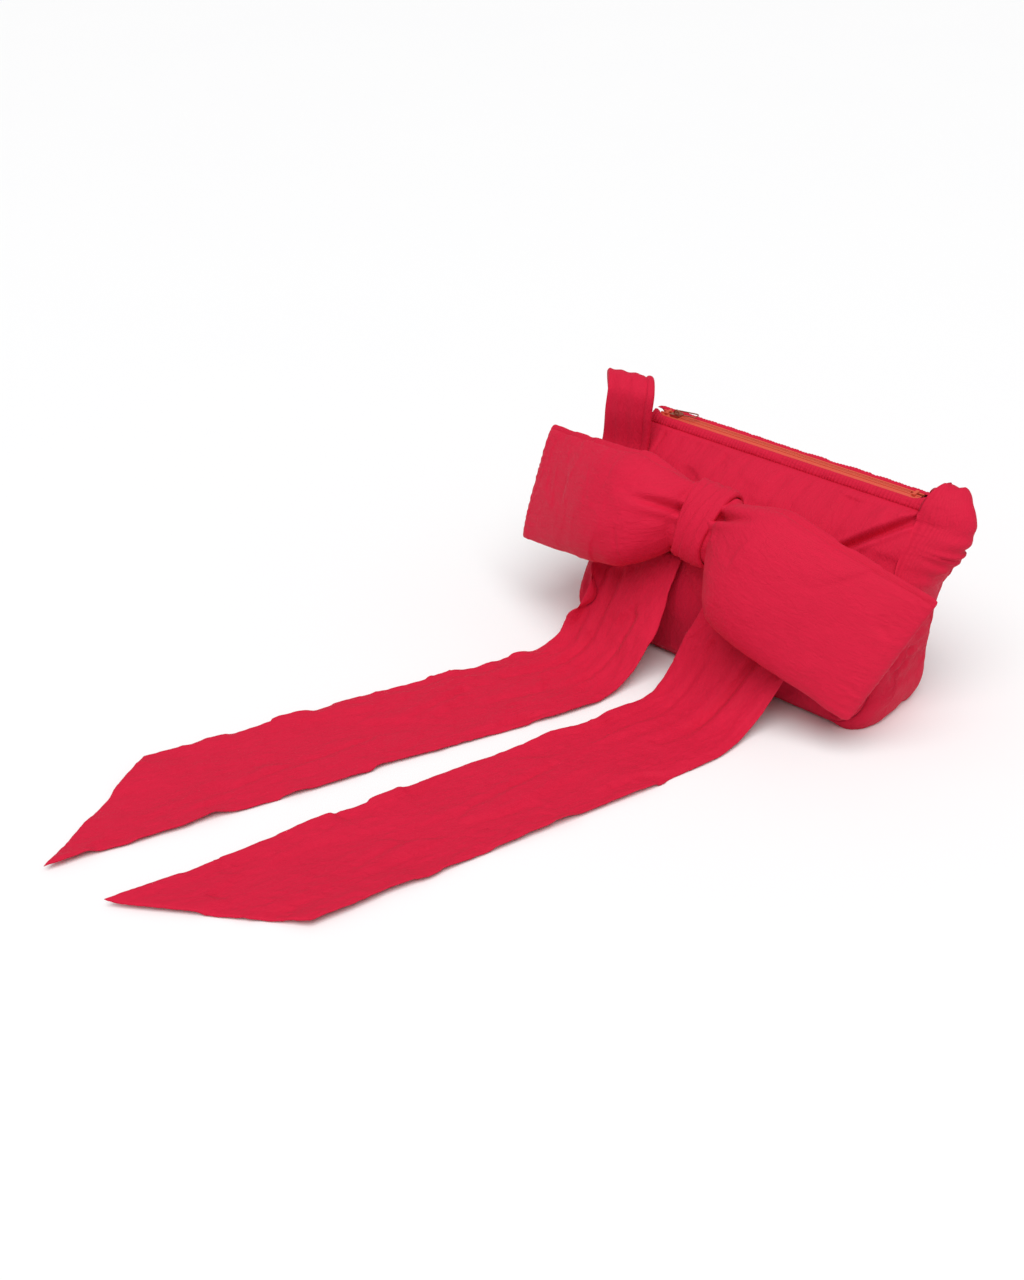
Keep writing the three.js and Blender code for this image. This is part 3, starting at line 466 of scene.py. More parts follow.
def cloth_material(name, tone, deep_tone, crinkle, group):
    """Crinkled nylon in one tone, with a soft sheen."""
    made, tree, shader = bare_material(name)
    place = tree.nodes.new("ShaderNodeUVMap")
    place.uv_map = "cloth"
    cloth = tree.nodes.new("ShaderNodeGroup")
    cloth.node_tree = group
    cloth.inputs["Tone"].default_value = tone
    cloth.inputs["Deep Tone"].default_value = deep_tone
    cloth.inputs["Crinkle"].default_value = crinkle
    tree.links.new(place.outputs["UV"], cloth.inputs["Cloth Place"])
    tree.links.new(cloth.outputs["Color"], shader.inputs["Base Color"])
    tree.links.new(cloth.outputs["Roughness"], shader.inputs["Roughness"])
    bump(tree, shader, cloth.outputs["Height"], strength=0.5, distance=0.0015)
    shader.inputs["Specular IOR Level"].default_value = 0.14
    shader.inputs["Sheen Weight"].default_value = 0.05
    shader.inputs["Sheen Roughness"].default_value = 0.4
    shader.inputs["Sheen Tint"].default_value = (1.0, 0.45, 0.5, 1)
    return made


def hard_material(name, tone, deep_tone, metallic, rough, grain):
    """Moulded or drawn zip stock: fine grain in the tone, the roughness and the surface."""
    made, tree, shader = bare_material(name)
    place = tree.nodes.new("ShaderNodeTexCoord").outputs["Object"]
    fine = noise_node(tree, place, grain, 3.0)
    tree.links.new(mixed_colour(tree, fine, deep_tone, tone), shader.inputs["Base Color"])
    spread = math_node(tree, "MULTIPLY", fine, 0.25)
    tree.links.new(math_node(tree, "ADD", spread, rough), shader.inputs["Roughness"])
    bump(tree, shader, fine, strength=0.2, distance=0.0002)
    shader.inputs["Metallic"].default_value = metallic
    return made


cloth_group = crinkled_cloth_group()
crimson = cloth_material(
    "crimson nylon", (0.69, 0.012, 0.052, 1), (0.53, 0.008, 0.034, 1), 1.0, cloth_group
)
lining_red = cloth_material(
    "lining red", (0.44, 0.012, 0.04, 1), (0.32, 0.008, 0.028, 1), 0.4, cloth_group
)
label_white = cloth_material(
    "label tape", (0.82, 0.8, 0.76, 1), (0.68, 0.66, 0.62, 1), 0.5, cloth_group
)
zip_orange = hard_material(
    "zip orange red", (0.74, 0.1, 0.045, 1), (0.6, 0.06, 0.03, 1), 0.0, 0.38, 900
)
zip_brass = hard_material(
    "zip wire", (0.6, 0.25, 0.16, 1), (0.45, 0.16, 0.1, 1), 0.9, 0.25, 1200
)

for node in ("zip_half_front", "zip_half_rear", "zip_stop_top_front", "zip_stop_top_rear",
             "zip_stop_bottom"):
    nodes[node].data.materials.clear()
    nodes[node].data.materials.append(zip_orange)
for node in ("zip_slider", "zip_puller"):
    nodes[node].data.materials.clear()
    nodes[node].data.materials.append(zip_brass)


# Padded walls


def half_width_at(y, height):
    """Half width of a panel at a height: straight sides with a round corner at each end."""
    below = np.clip(CORNER_RADIUS - y, 0, CORNER_RADIUS)
    above = np.clip(y - height + TOP_CORNER_RADIUS, 0, TOP_CORNER_RADIUS)
    low = CORNER_RADIUS - np.sqrt(CORNER_RADIUS**2 - below**2)
    high = TOP_CORNER_RADIUS - np.sqrt(TOP_CORNER_RADIUS**2 - above**2)
    return HALF_WIDTH - low - high


def puff_at(x, y, height):
    """One in the middle of a panel and nothing at its seams: a product of two parabolas."""
    across = np.maximum(1 - (x / HALF_WIDTH) ** 2, 0)
    along = np.maximum(1 - (2 * y / height - 1) ** 2, 0)
    return across * along


def rounded_edge(away, reach):
    """A quarter circle from nothing at an edge to one at the reach."""
    return np.sqrt(1 - (1 - np.clip(away / reach, 0, 1)) ** 2)


def zip_gathers(x, y, top, depth, fade, pitch, seed):
    """Close ripples under the zip: a wandering sine across that fades with the way down."""
    wander = 1.5 * waves(grid(x, y), 40, seed)
    return depth * np.exp(-top / fade) * np.sin(2 * np.pi * x / pitch + wander)


def foot_folds(x, y, depth, fade, size, seed):
    """Slack folds above a panel's foot that fade with the way up."""
    return depth * np.exp(-y / fade) * waves(grid(x, 0.3 * y), size, seed)


def front_wrinkles(x, y):
    """Folds of the front: gathers under the zip, long soft folds falling from it, the sharp fold
    that runs from the right corner in under the bow with a full lobe on each side, and bumps."""
    place = grid(x, y)
    top = FRONT_HEIGHT - y
    gathers = zip_gathers(x, y, top, depth=0.5, fade=8, pitch=5.5, seed=3)
    falls = 1.3 * np.exp(-top / 38) * ramp(top, 0, 12) * waves(grid(x, 0.15 * y), 24, 4)
    deep = crease(x, y, FOLD_TOP, FOLD_FOOT, FOLD_WIDTH, FOLD_DEPTH, 0.8)
    above = (y - FOLD_TOP[1]) * DIAGONAL - (x - FOLD_TOP[0]) * DIAGONAL
    along = ((FOLD_TOP[0] - x) + (FOLD_TOP[1] - y)) * DIAGONAL
    lobe = 7.5 * bell(above, 13, 10) * bell(along, 26, 34)
    lobe = lobe + 4.0 * bell(above, -14, 11) * bell(along, 42, 26)
    tuck = -9 * bell(np.hypot(x - TUCK_PLACE[0], y - TUCK_PLACE[1]), 0, 9)
    foot = foot_folds(x, y, depth=1.2, fade=22, size=22, seed=5)
    return gathers + falls + deep + lobe + tuck + foot + 0.9 * waves(place, 70, 6)


def back_wrinkles(x, y):
    """Folds of the back: gathers under the zip, soft falls and slow bumps."""
    place = grid(x, y)
    top = BACK_HEIGHT - y
    gathers = zip_gathers(x, y, top, depth=0.55, fade=9, pitch=6.5, seed=13)
    falls = 1.4 * np.exp(-top / 30) * waves(grid(x, 0.15 * y), 26, 14)
    foot = foot_folds(x, y, depth=1.4, fade=25, size=24, seed=15)
    return gathers + falls + foot + 0.8 * waves(place, 80, 16)


def padded_wall(name, base, up, out, height, puff, wrinkles):
    """A quilted wall over (share across, share up): it stands off its seam plane by the puff,
    its padding is rounded to nothing at the seams, and wrinkles lift or sink its outer side."""
    columns, rows = 190, 120
    y = height * (edge_spaced(rows) + 1) / 2
    y = y[:, None]
    x = half_width_at(y, height) * edge_spaced(columns)[None, :]
    fullness = puff_at(x, y, height) ** PUFF_CURVE
    away = np.minimum(half_width_at(y, height) - np.abs(x), np.minimum(y, height - y))
    seat = base + x[..., None] * X_AXIS + y[..., None] * up
    lift = SEAM_GAP + puff * fullness
    pad = mix(PAD_EDGE, PAD_MIDDLE, fullness) * rounded_edge(away, 3.5)
    loose = wrinkles(x, y) * ramp(away, 0, 9)
    outer = seat + (lift + pad + np.maximum(loose, 0.6 - pad))[..., None] * out
    inner = seat + lift[..., None] * out
    uv = grid(x, y)
    return skin(name, both_sides(outer, inner), both_sides(uv, uv), crimson)


front_cloth = settle(
    padded_wall(
        "front_cloth", front_base, front_up, front_out, FRONT_HEIGHT, FRONT_PUFF, front_wrinkles
    ),
    "front_panel",
)
back_cloth = settle(
    padded_wall(
        "back_cloth", back_base, back_up, back_out, BACK_HEIGHT, BACK_PUFF, back_wrinkles
    ),
    "back_panel",
)


def gusset_route():
    """Stations down the left side, round the corner, across the base and up the right side:
    x, height up each panel's seam as a rise or as a share of the side, and the way out."""
    side = np.linspace(1, 0, 110)[:-1]
    turn = np.linspace(0, np.pi / 2, 24)
    base = np.linspace(-1, 1, 90)[1:-1]
    nothing = np.zeros_like
    x = np.concatenate([
        np.full_like(side, -HALF_WIDTH),
        -(HALF_WIDTH - CORNER_RADIUS * (1 - np.cos(turn))),
        (HALF_WIDTH - CORNER_RADIUS) * base,
        HALF_WIDTH - CORNER_RADIUS * (1 - np.cos(turn[::-1])),
        np.full_like(side, HALF_WIDTH),
    ])
    rise = np.concatenate([
        np.full_like(side, CORNER_RADIUS),
        CORNER_RADIUS * (1 - np.sin(turn)),
        nothing(base),
        CORNER_RADIUS * (1 - np.sin(turn[::-1])),
        np.full_like(side, CORNER_RADIUS),
    ])
    share = np.concatenate([side, nothing(turn), nothing(base), nothing(turn), side[::-1]])
    out_x = np.concatenate([
        -np.ones_like(side), -np.cos(turn), nothing(base), np.cos(turn[::-1]), np.ones_like(side)
    ])
    out_z = np.concatenate([
        nothing(side), -np.sin(turn), -np.ones_like(base), -np.sin(turn[::-1]), nothing(side)
    ])
    return x, rise, share, out_x, out_z


def dome(edge, hub, top, closing):
    """Rows that close a strip over its end: a quarter ellipse from its last row to a top over
    a hub."""
    return hub + (edge - hub) * np.cos(closing) + top * np.sin(closing)


def gusset_piece():
    """The strip between the panels over (station along the route, share from front seam to back
    seam): a round crown, a stuffed upper right corner that laps over the front, a full lower right
    corner, a dome that closes each end, and gathers that run from seam to seam on the sides."""
    x, rise, share, out_x, out_z = (part[:, None] for part in gusset_route())
    across = (edge_spaced(56, 0.8)[None, :] + 1) / 2
    front_y = rise + share * (FRONT_HEIGHT - TOP_CORNER_RADIUS - CORNER_RADIUS)
    back_y = rise + share * (BACK_HEIGHT - TOP_CORNER_RADIUS - CORNER_RADIUS)
    right = x > 0
    lap = CORNER_LAP * ramp(share, 0.35, 0.8) * right
    beneath = puff_at(x - lap, front_y, FRONT_HEIGHT) ** PUFF_CURVE
    panel = FRONT_PUFF * beneath + mix(PAD_EDGE, PAD_MIDDLE, beneath)
    stand = ramp(lap, 0, 6) * (LAP_CLEARANCE + panel)
    front = front_base + front_y[..., None] * front_up + (x - lap)[..., None] * X_AXIS
    front = front + stand[..., None] * front_out
    back = back_base + back_y[..., None] * back_up + x[..., None] * X_AXIS
    middle = mix(front, back, across[..., None])
    outward = grid(out_x, 0 * out_x, out_z)
    crown = (1 - np.abs(2 * across - 1) ** 5) ** 0.5
    round_over = np.sin(np.pi * across) ** 0.75
    height = middle[..., 2]
    length = np.hypot(front[..., 1] - back[..., 1], front[..., 2] - back[..., 2])
    along = front_y * np.ones_like(across)
    sides = np.abs(out_x)
    place = grid(along, across * length, np.sign(x) * 40 * np.ones_like(across))
    bent = along + 18 * (across - 0.3) * right + 8 * waves(place, 60, 21)
    puckers = np.sin(2 * np.pi * bent / GATHER_PITCH) * (0.3 + 0.7 * bell(across, 0.3, 0.35))
    gathers = 1.5 * sides * crown * puckers * (0.6 + 0.4 * waves(place, 45, 23))
    stuffed = CORNER_FULLER * CORNER_SWELL * ramp(share, 0.42, 0.95) * right * round_over
    fuller = LOWER_CORNER_SWELL * right * bell(height, 4, 20) * ramp(out_x, 0, 0.5) * crown
    loose = 0.9 * waves(place, 30, 22) * crown
    swell = crown * GUSSET_CROWN + stuffed + fuller + (gathers + loose) * ramp(sides, 0, 0.4)
    backward = (0.4 * stuffed * across)[..., None] * np.array([0, 1.0, 0])
    outer = middle + swell[..., None] * outward + backward
    outer[..., 2] = np.maximum(outer[..., 2], 0.0)
    inner = middle + (crown * (GUSSET_CROWN - GUSSET_WALL))[..., None] * outward
    uv = grid(across * length, np.cumsum(np.ones_like(x), axis=0) * 2.0)
    closing = np.linspace(0, np.pi / 2 * 0.97, 30)[1:, None, None]
    top = middle[-1, :, 2].mean()
    right_hub = np.array([HALF_WIDTH - 1, zip_middle[1] + 4, top])
    left_hub = np.array([7 - HALF_WIDTH, zip_middle[1], top])
    sides_closed = []
    for wall in (outer, inner):
        over_right = dome(wall[-1], right_hub, CORNER_TOP, closing)
        over_left = dome(wall[0], left_hub, LEFT_TOP, closing)
        sides_closed.append([over_left[::-1], wall, over_right])
    over_right = sides_closed[0][2]
    crumple = waves(over_right, 26, 24)[..., None] * np.array([0.6, 1.0, 0.9])
    sides_closed[0][2] = over_right + 1.5 * crumple * np.sin(closing)
    outer, inner = (np.concatenate(rows) for rows in sides_closed)
    climb = grid(0 * closing[..., 0], 30 * closing[..., 0])
    uv = np.concatenate([(uv[:1] - climb)[::-1], uv, uv[-1:] + climb])
    return skin("gusset_cloth", both_sides(outer, inner), both_sides(uv, uv), crimson)


gusset_cloth = settle(gusset_piece(), "side_gusset")


def lining_piece():
    """The inner pouch over (level, place round the ring): each ring follows both walls a little
    inside their puff, with slack folds, and the lowest ring is joined into a seam."""
    levels, columns = 36, 80
    share = np.linspace(0, 1, levels)[:, None]
    q = np.linspace(-1, 1, columns)[None, :]
    inset = GUSSET_WALL + LINING_GAP + LINING_WALL / 2
    runs = []
    for base, up, out, height, puff, sense, seed in (
        (front_base, front_up, front_out, FRONT_HEIGHT, FRONT_PUFF, 1, 31),
        (back_base, back_up, back_out, BACK_HEIGHT, BACK_PUFF, -1, 32),
    ):
        y = mix(GUSSET_WALL + LINING_LIFT, height - TOP_CORNER_RADIUS, share)
        below = np.clip(CORNER_RADIUS - y, 0, None)
        reach = HALF_WIDTH - CORNER_RADIUS + np.sqrt((CORNER_RADIUS - inset) ** 2 - below**2)
        x = sense * np.where(below > 0, reach, HALF_WIDTH - inset) * q
        lift = SEAM_GAP + puff * puff_at(x, y, height) - LINING_GAP - LINING_WALL / 2
        slack = 0.7 * (waves(grid(x, 0.4 * y), 30, seed) - 1) * ramp(share, 0, 0.2)
        runs.append(base + grid(x, 0 * x, 0 * x) + (y * np.ones_like(x))[..., None] * up
                    + (lift + slack)[..., None] * out)
    rings = np.concatenate(runs, axis=1)
    around = 2 * columns
    at = np.arange(levels * around).reshape(levels, around)
    sides = np.stack(
        [at[:-1], np.roll(at, -1, 1)[:-1], np.roll(at, -1, 1)[1:], at[1:]], -1
    ).reshape(-1, 4)
    out, back = at[0, :columns], at[0, columns:][::-1]
    seam = np.stack([back[:-1], back[1:], out[1:], out[:-1]], -1)
    uv = grid(np.arange(around) * 3.6, share * 150)
    made = piece_from(
        "lining_cloth",
        rings.reshape(-1, 3),
        np.vstack([sides, seam]),
        uv.reshape(-1, 2),
        lining_red,
    )
    wall = made.modifiers.new("wall", "SOLIDIFY")
    wall.thickness = LINING_WALL * MM
    wall.offset = 0
    return made


lining_cloth = settle(lining_piece(), "lining")


# Zip facings


def on_tape(side, out, up):
    """A place on a drooping tape: out along it from the bead and up from its middle."""
    across = BEAD_OUTER + out * math.cos(TAPE_DROOP) + up * math.sin(TAPE_DROOP)
    rise = up * math.cos(TAPE_DROOP) - out * math.sin(TAPE_DROOP)
    return (side * across)[..., None] * zip_across + rise[..., None] * zip_up + zip_middle


def zip_facing(name, side, seed):
    """A ruched strip beside the chain over (place along the zip, angle over its round back):
    a half round whose height ripples in close gathers. It closes in beyond the chain's ends."""
    left = ZIP_LEFT - TAPE_TAIL - FACING_PAST_LEFT
    right = ZIP_RIGHT + TAPE_TAIL + FACING_PAST_RIGHT
    x = np.linspace(left, right, 600)[:, None]
    turn = np.linspace(0, np.pi, 15)[None, :]
    place = grid(x, 0 * x)
    ruche = np.sin(2 * np.pi * x / RUCHE_PITCH + 1.8 * waves(place, 16, seed))
    height = WELT_HEIGHT * (1 + 0.08 * ruche + 0.12 * waves(place, 20, seed + 1))
    middle = (WELT_INNER + WELT_OUTER) / 2
    half = (WELT_OUTER - WELT_INNER) / 2
    base = TAPE_WALL / 2 + SEAM_GAP
    out = middle - half * np.cos(turn) * (1 + 0 * x)
    out = out + WELT_SPREAD * ramp(out, middle, WELT_OUTER) * (0.8 + 0.2 * ruche)
    past = ramp(x, ZIP_RIGHT + 5, ZIP_RIGHT + 18) + ramp(-x, 6 - ZIP_LEFT, 16 - ZIP_LEFT)
    out = out - CHAIN_COVER * past * ramp(-out, -WELT_OUTER, 0)
    ends = rounded_edge(np.minimum(x - x[0], x[-1] - x), 3)
    top = on_tape(side, out, base + np.maximum(height * np.sin(turn) * ends, 0.05))
    under = on_tape(side, out, base - 1.2 * ramp(out, middle, WELT_OUTER))
    along = x[..., None] * X_AXIS
    uv = grid(out, x)
    return skin(name, both_sides(top + along, under + along), both_sides(uv, uv), crimson)


welt_front = settle(zip_facing("zip_facing_front", -1, 41), "zip_welt_front")
welt_rear = settle(zip_facing("zip_facing_rear", 1, 45), "zip_welt_rear")


# Bow


def on_front(x, y, z):
    """A place from the bow's own frame: across, up the slope and away from the panel."""
    return front_base + grid(x, 0 * x, 0 * x) + y[..., None] * front_up + z[..., None] * front_out


def wing_share(x):
    """Share of a wing outside the knot: nothing at the knot and one at its end."""
    span = np.where(x < 0, LEFT_WING_SPAN, RIGHT_WING_SPAN)
    return np.maximum(np.abs(x) - wing_start, 0) / (span - wing_start)


def bow_piece():
    """The padded loop over (place along the bow, angle round it): a boxy oval pinched at the knot
    and full close beside it, whose wings droop and turn back at their ends. The back layer stands
    a little above the front layer, a crease runs out from each side of the knot, folds fan out
    from the pinch and the folded ends have small wrinkles."""
    turn_count = 72
    station = edge_spaced(340, 0.25)[:, None]
    x = np.where(station < 0, LEFT_WING_SPAN, RIGHT_WING_SPAN) * station
    turn = ((np.arange(2 * turn_count) + 0.5) * np.pi / turn_count)[None, :]
    share = wing_share(x)
    fullness = np.sin(np.pi * share**WING_FULL_CURVE)
    middle_y = KNOT_HEIGHT_UP - KNOT_SLOPE * x - WING_SAG * share**WING_SAG_CURVE
    middle_z = knot_lift - WING_SETBACK * share**2 + WING_FORWARD * fullness**2
    lean = np.arctan(KNOT_SLOPE + np.sign(x) * WING_TILT * ramp(share, 0, WING_OPEN_SHARE))
    opened = np.sin(np.minimum(share / WING_OPEN_SHARE, 1) * np.pi / 2)
    full_height = np.where(x < 0, LEFT_WING_HEIGHT, RIGHT_WING_HEIGHT) + WING_FLARE * share
    tall = mix(PINCH_HEIGHT, full_height, opened) / 2
    deep = mix(PINCH_DEPTH, WING_END_DEPTH, share) / 2 + WING_PUFF * fullness
    to_end = np.where(x < 0, LEFT_WING_SPAN, RIGHT_WING_SPAN) - np.abs(x)
    deep = deep * mix(0.15, 1.0, rounded_edge(to_end, WING_END_ROUND))
    tall = tall - 4 * (1 - rounded_edge(to_end, WING_EDGE_ROUND))
    c, s = np.cos(turn), np.sin(turn)
    up = tall * np.sign(c) * np.abs(c) ** 0.93
    out = deep * np.sign(s) * np.abs(s) ** 0.9
    open_share = ramp(share, 0.03, 0.25)
    valley = LAYER_VALLEY * open_share * bell(s, 0.1, 0.13) * ramp(c, 0.3, 0.8)
    peek = LAYER_PEEK * open_share * ramp(c, 0.5, 0.95) * ramp(-s, -0.05, 0.15)
    seam_below = 1.5 * open_share * bell(s, -0.2, 0.15) * ramp(-c, 0.3, 0.8)
    up = up - valley + peek + seam_below
    slope_y = middle_y + up
    place = grid(x, up, 0.5 * out)
    fan = np.exp(-share * 9) * ramp(share, 0, 0.02)
    folds = 0.6 * fan * np.cos(2 * np.pi * up / tall * 2.2 + 1.3 * np.sign(x))
    left = crease(x, slope_y, *LEFT_CREASE, width=3.2, depth=8)
    right = crease(x, slope_y, *RIGHT_CREASE, width=3.4, depth=10)
    creases = np.where(x < 0, left, right) * ramp(s, 0.1, 0.5)
    puckers = np.sin(2 * np.pi * up / 7 + 2.5 * waves(place, 22, 51))
    ends = 0.8 * np.exp(-to_end / 14) * puckers
    slow = 0.9 * waves(place, 75, 52) + 0.25 * waves(place, 17, 53)
    raised = (folds + creases + ends + slow) * rounded_edge(to_end, WING_EDGE_ROUND)
    up = up + raised * c * 0.5
    out = out + raised * s
    across = KNOT_OFFSET + x + up * np.sin(lean)
    rings = on_front(across, middle_y + up * np.cos(lean), middle_z + out)
    return skin("bow_cloth", rings, grid(up + 0.6 * out, x), crimson)


bow_cloth = settle(bow_piece(), "bow_pad")


def knot_piece():
    """The band round the pinch over (angle round the bow, share across the band): an oval ring,
    narrower at its foot, with slanting overlapped pleats and rolled edges."""
    angle = np.linspace(0, 2 * np.pi, 180, endpoint=False)[:, None]
    q = edge_spaced(64, 0.5)[None, :]
    in_front = ramp(np.sin(angle), -0.2, 0.8)
    low = ramp(-np.cos(angle), -0.6, 0.9)
    half = KNOT_WIDTH / 2 * (1 - in_front * mix(0.1, 0.3, low))
    w = half * q + in_front * 1.5
    level = np.cos(angle)
    overlaps = 0
    for middle, slant in KNOT_PLEATS:
        past = w - middle - slant * level
        step = PLEAT_STEP * ramp(past, -0.6, 0.6)
        overlaps = overlaps + step * np.exp(-np.maximum(past, 0) / 7)
    place = grid(w, 34 * level, 21 * np.sin(angle))
    rolled = rounded_edge((1 - np.abs(q)) * half, 3)
    drawn = 0.3 * waves(place * np.array([1, 0.3, 0.3]), 9, 61)
    raised = (overlaps - 0.6) * rolled + drawn - 2.4 * (1 - rolled)
    inner_height, inner_depth = knot_half_height - KNOT_WALL, knot_half_depth - KNOT_WALL

    def ring(lift):
        y = (inner_height + lift) * np.cos(angle)
        z = (inner_depth + lift) * np.sin(angle)
        turned_x = w * math.cos(knot_turn) - y * math.sin(knot_turn)
        turned_y = w * math.sin(knot_turn) + y * math.cos(knot_turn)
        return on_front(KNOT_OFFSET + turned_x, KNOT_HEIGHT_UP + turned_y, knot_lift + z + 0 * w)

    uv = grid(w, angle * 28 + 0 * w)
    outer = ring(np.maximum(KNOT_WALL + raised, 1.0))
    inner = ring(0.2 + 0 * w)
    return skin("knot_cloth", both_sides(outer, inner), both_sides(uv, uv), crimson, looped=True)


knot_cloth = settle(knot_piece(), "bow_knot")


# Sash tails


def run_length(path):
    """Length along a path of points from its start to each point."""
    return np.concatenate([[0], np.cumsum(np.linalg.norm(np.diff(path, axis=0), axis=1))])


def ahead_of_front(x, y, clearance):
    """A place outside the front panel, clear of its padding."""
    fullness = float(puff_at(np.array(x), np.array(y), FRONT_HEIGHT))
    lift = SEAM_GAP + FRONT_PUFF * fullness + mix(PAD_EDGE, PAD_MIDDLE, fullness) + clearance
    return front_base + X_AXIS * x + front_up * y + front_out * lift


def tail_piece(name, drop, heading, inner, seed, creases, curl, tuck):
    """A sash tail over (share of its length, share across): it comes out from behind the bow,
    falls to the floor and runs out flat, with long faint creases and lightly waved edges.
    Its end is cut on a slant and its rows fan out to meet the cut. Each crease is given by its
    start and end (along, across), its width, its depth and the share of that left at its end."""
    rows, columns = 320, 64
    landing = drop[-1]
    ahead = np.array([-math.sin(heading), -math.cos(heading), 0])
    root_across = X_AXIS + front_out * inner * TAIL_ROOT_LEAN
    floor_across = np.array([math.cos(heading), -math.sin(heading), 0])
    run = [landing + ahead * TAIL_LENGTH * k / 4 for k in range(1, 6)]
    fine = smooth_path([*drop, *run], np.linspace(0, 1, 4000))
    travelled = run_length(fine)
    drop_length = run_length(smooth_path(drop, np.linspace(0, 1, 400)))[-1]
    q = edge_spaced(columns, 0.6)[None, :]
    length = tuck + TAIL_LENGTH + inner * q * TAIL_CUT / 2
    distance = np.linspace(0, 1, rows)[:, None] * length

    def at(d):
        return np.stack([np.interp(d, travelled, fine[:, k]) for k in range(3)], -1)

    middle = at(distance)
    along = unit(at(distance + 1.5) - at(np.maximum(distance - 1.5, 0)))
    turned = ramp(distance, 0, drop_length)[..., None]
    across = unit(mix(root_across, floor_across, turned))
    face = unit(np.cross(across, along))
    half = mix(TAIL_START_WIDTH, TAIL_WIDTH, ramp(distance, 0, TAIL_SPREAD)) / 2
    middle[..., 2] = np.maximum(middle[..., 2], TAIL_WALL / 2)
    place = grid(distance, q * half)
    waver = 1.3 * waves(grid(distance, 60 * q), 110, seed + 3) * ramp(distance, 100, 220)
    sheet = middle + across * (q * half + waver * np.abs(q))[..., None]
    low = 1 - ramp(sheet[..., 2], TAIL_WALL / 2, 2 * TAIL_WALL)
    face = unit(mix(face, Z_AXIS * np.sign(face[..., 2:]), low[..., None]))
    face = face * np.sign(face[..., 2:].mean())
    floor = ramp(distance, drop_length * 0.7, drop_length * 1.2)
    ripple = 1.3 * waves(place * np.array([0.35, 1.0]), 46, seed)
    wrinkle = 0.4 * ridges(1.6 * waves(place * np.array([0.5, 1.0]), 30, seed + 1))
    lifted = 2.6 * np.abs(q) ** 3 * (0.6 + 0.5 * waves(grid(distance, 60 * q), 90, seed + 2))
    folds = sum(crease(distance, q * half, *fold) for fold in creases)
    crinkle = 0.22 * waves(place * np.array([0.4, 1.0]), 7, seed + 4)
    rise = ripple + wrinkle + crinkle + folds + floor * (lifted + 1.5)
    rolled = curl * ramp(-q, 0.62, 1.0) * bell(distance, 62, 30)
    rise = rise + 9 * np.sin(np.pi * rolled) + 4 * rolled
    sheet = sheet + across * (20 * rolled**1.5)[..., None]
    away = np.minimum((1 - np.abs(q)) * half, np.minimum(length - distance, distance))
    wall = TAIL_WALL / 2 * mix(0.25, 1.0, rounded_edge(away, 2.2))
    centre = sheet + face * rise[..., None]
    centre[..., 2] += np.maximum(0.15 - (centre - face * wall[..., None])[..., 2], 0)
    outer = centre + face * wall[..., None]
    under = centre - face * wall[..., None]
    under[..., 2] = np.maximum(under[..., 2], 0.0)
    uv = grid(q * half, distance)
    return skin(name, both_sides(outer, under), both_sides(uv, uv), crimson)


tail_root = KNOT_HEIGHT_UP - knot_half_height - 2 * KNOT_WALL
tail_floor = TAIL_WALL / 2
tail_left = settle(
    tail_piece(
        "tail_left_cloth",
        [
            ahead_of_front(KNOT_OFFSET - 62, tail_root + TAIL_RAISE, 6.5),
            ahead_of_front(KNOT_OFFSET - 64, tail_root * 0.63, 15),
            ahead_of_front(KNOT_OFFSET - 65, tail_root * 0.16, 30),
            np.array([KNOT_OFFSET - 66, -BASE_FRONT - 52, 11]),
            np.array([KNOT_OFFSET - 69, -BASE_FRONT - 88, tail_floor]),
        ],
        LEFT_TAIL_HEADING,
        inner=1,
        seed=71,
        creases=[
            ((30, -14), (190, -20), 3.5, 3.5, 0.3),
            ((60, 22), (230, 8), 3, 2.5, 0.2),
            ((330, 12), (520, 28), 3, 2, 0.3),
            ((230, -18), (330, 10), 3, 1.6, 0.3),
        ],
        curl=1.0,
        tuck=LEFT_TAIL_TUCK,
    ),
    "tail_left",
)
tail_right = settle(
    tail_piece(
        "tail_right_cloth",
        [
            ahead_of_front(KNOT_OFFSET + 58, tail_root + TAIL_RAISE, 3.2),
            ahead_of_front(KNOT_OFFSET + 62, tail_root * 0.63, 13),
            ahead_of_front(KNOT_OFFSET + 56, tail_root * 0.16, 28),
            np.array([KNOT_OFFSET + 53, -BASE_FRONT - 51, 12]),
            np.array([KNOT_OFFSET + 53, -BASE_FRONT - 90, tail_floor]),
        ],
        RIGHT_TAIL_HEADING,
        inner=-1,
        seed=81,
        creases=[
            ((20, 22), (170, 6), 4, 6, 0.3),
            ((60, -22), (210, -30), 3, 2, 0.2),
            ((260, -12), (470, 14), 3, 2, 0.3),
            ((300, 25), (420, 5), 3, 1.6, 0.3),
        ],
        curl=0.0,
        tuck=RIGHT_TAIL_TUCK,
    ),
    "tail_right",
)


# Shoulder strap


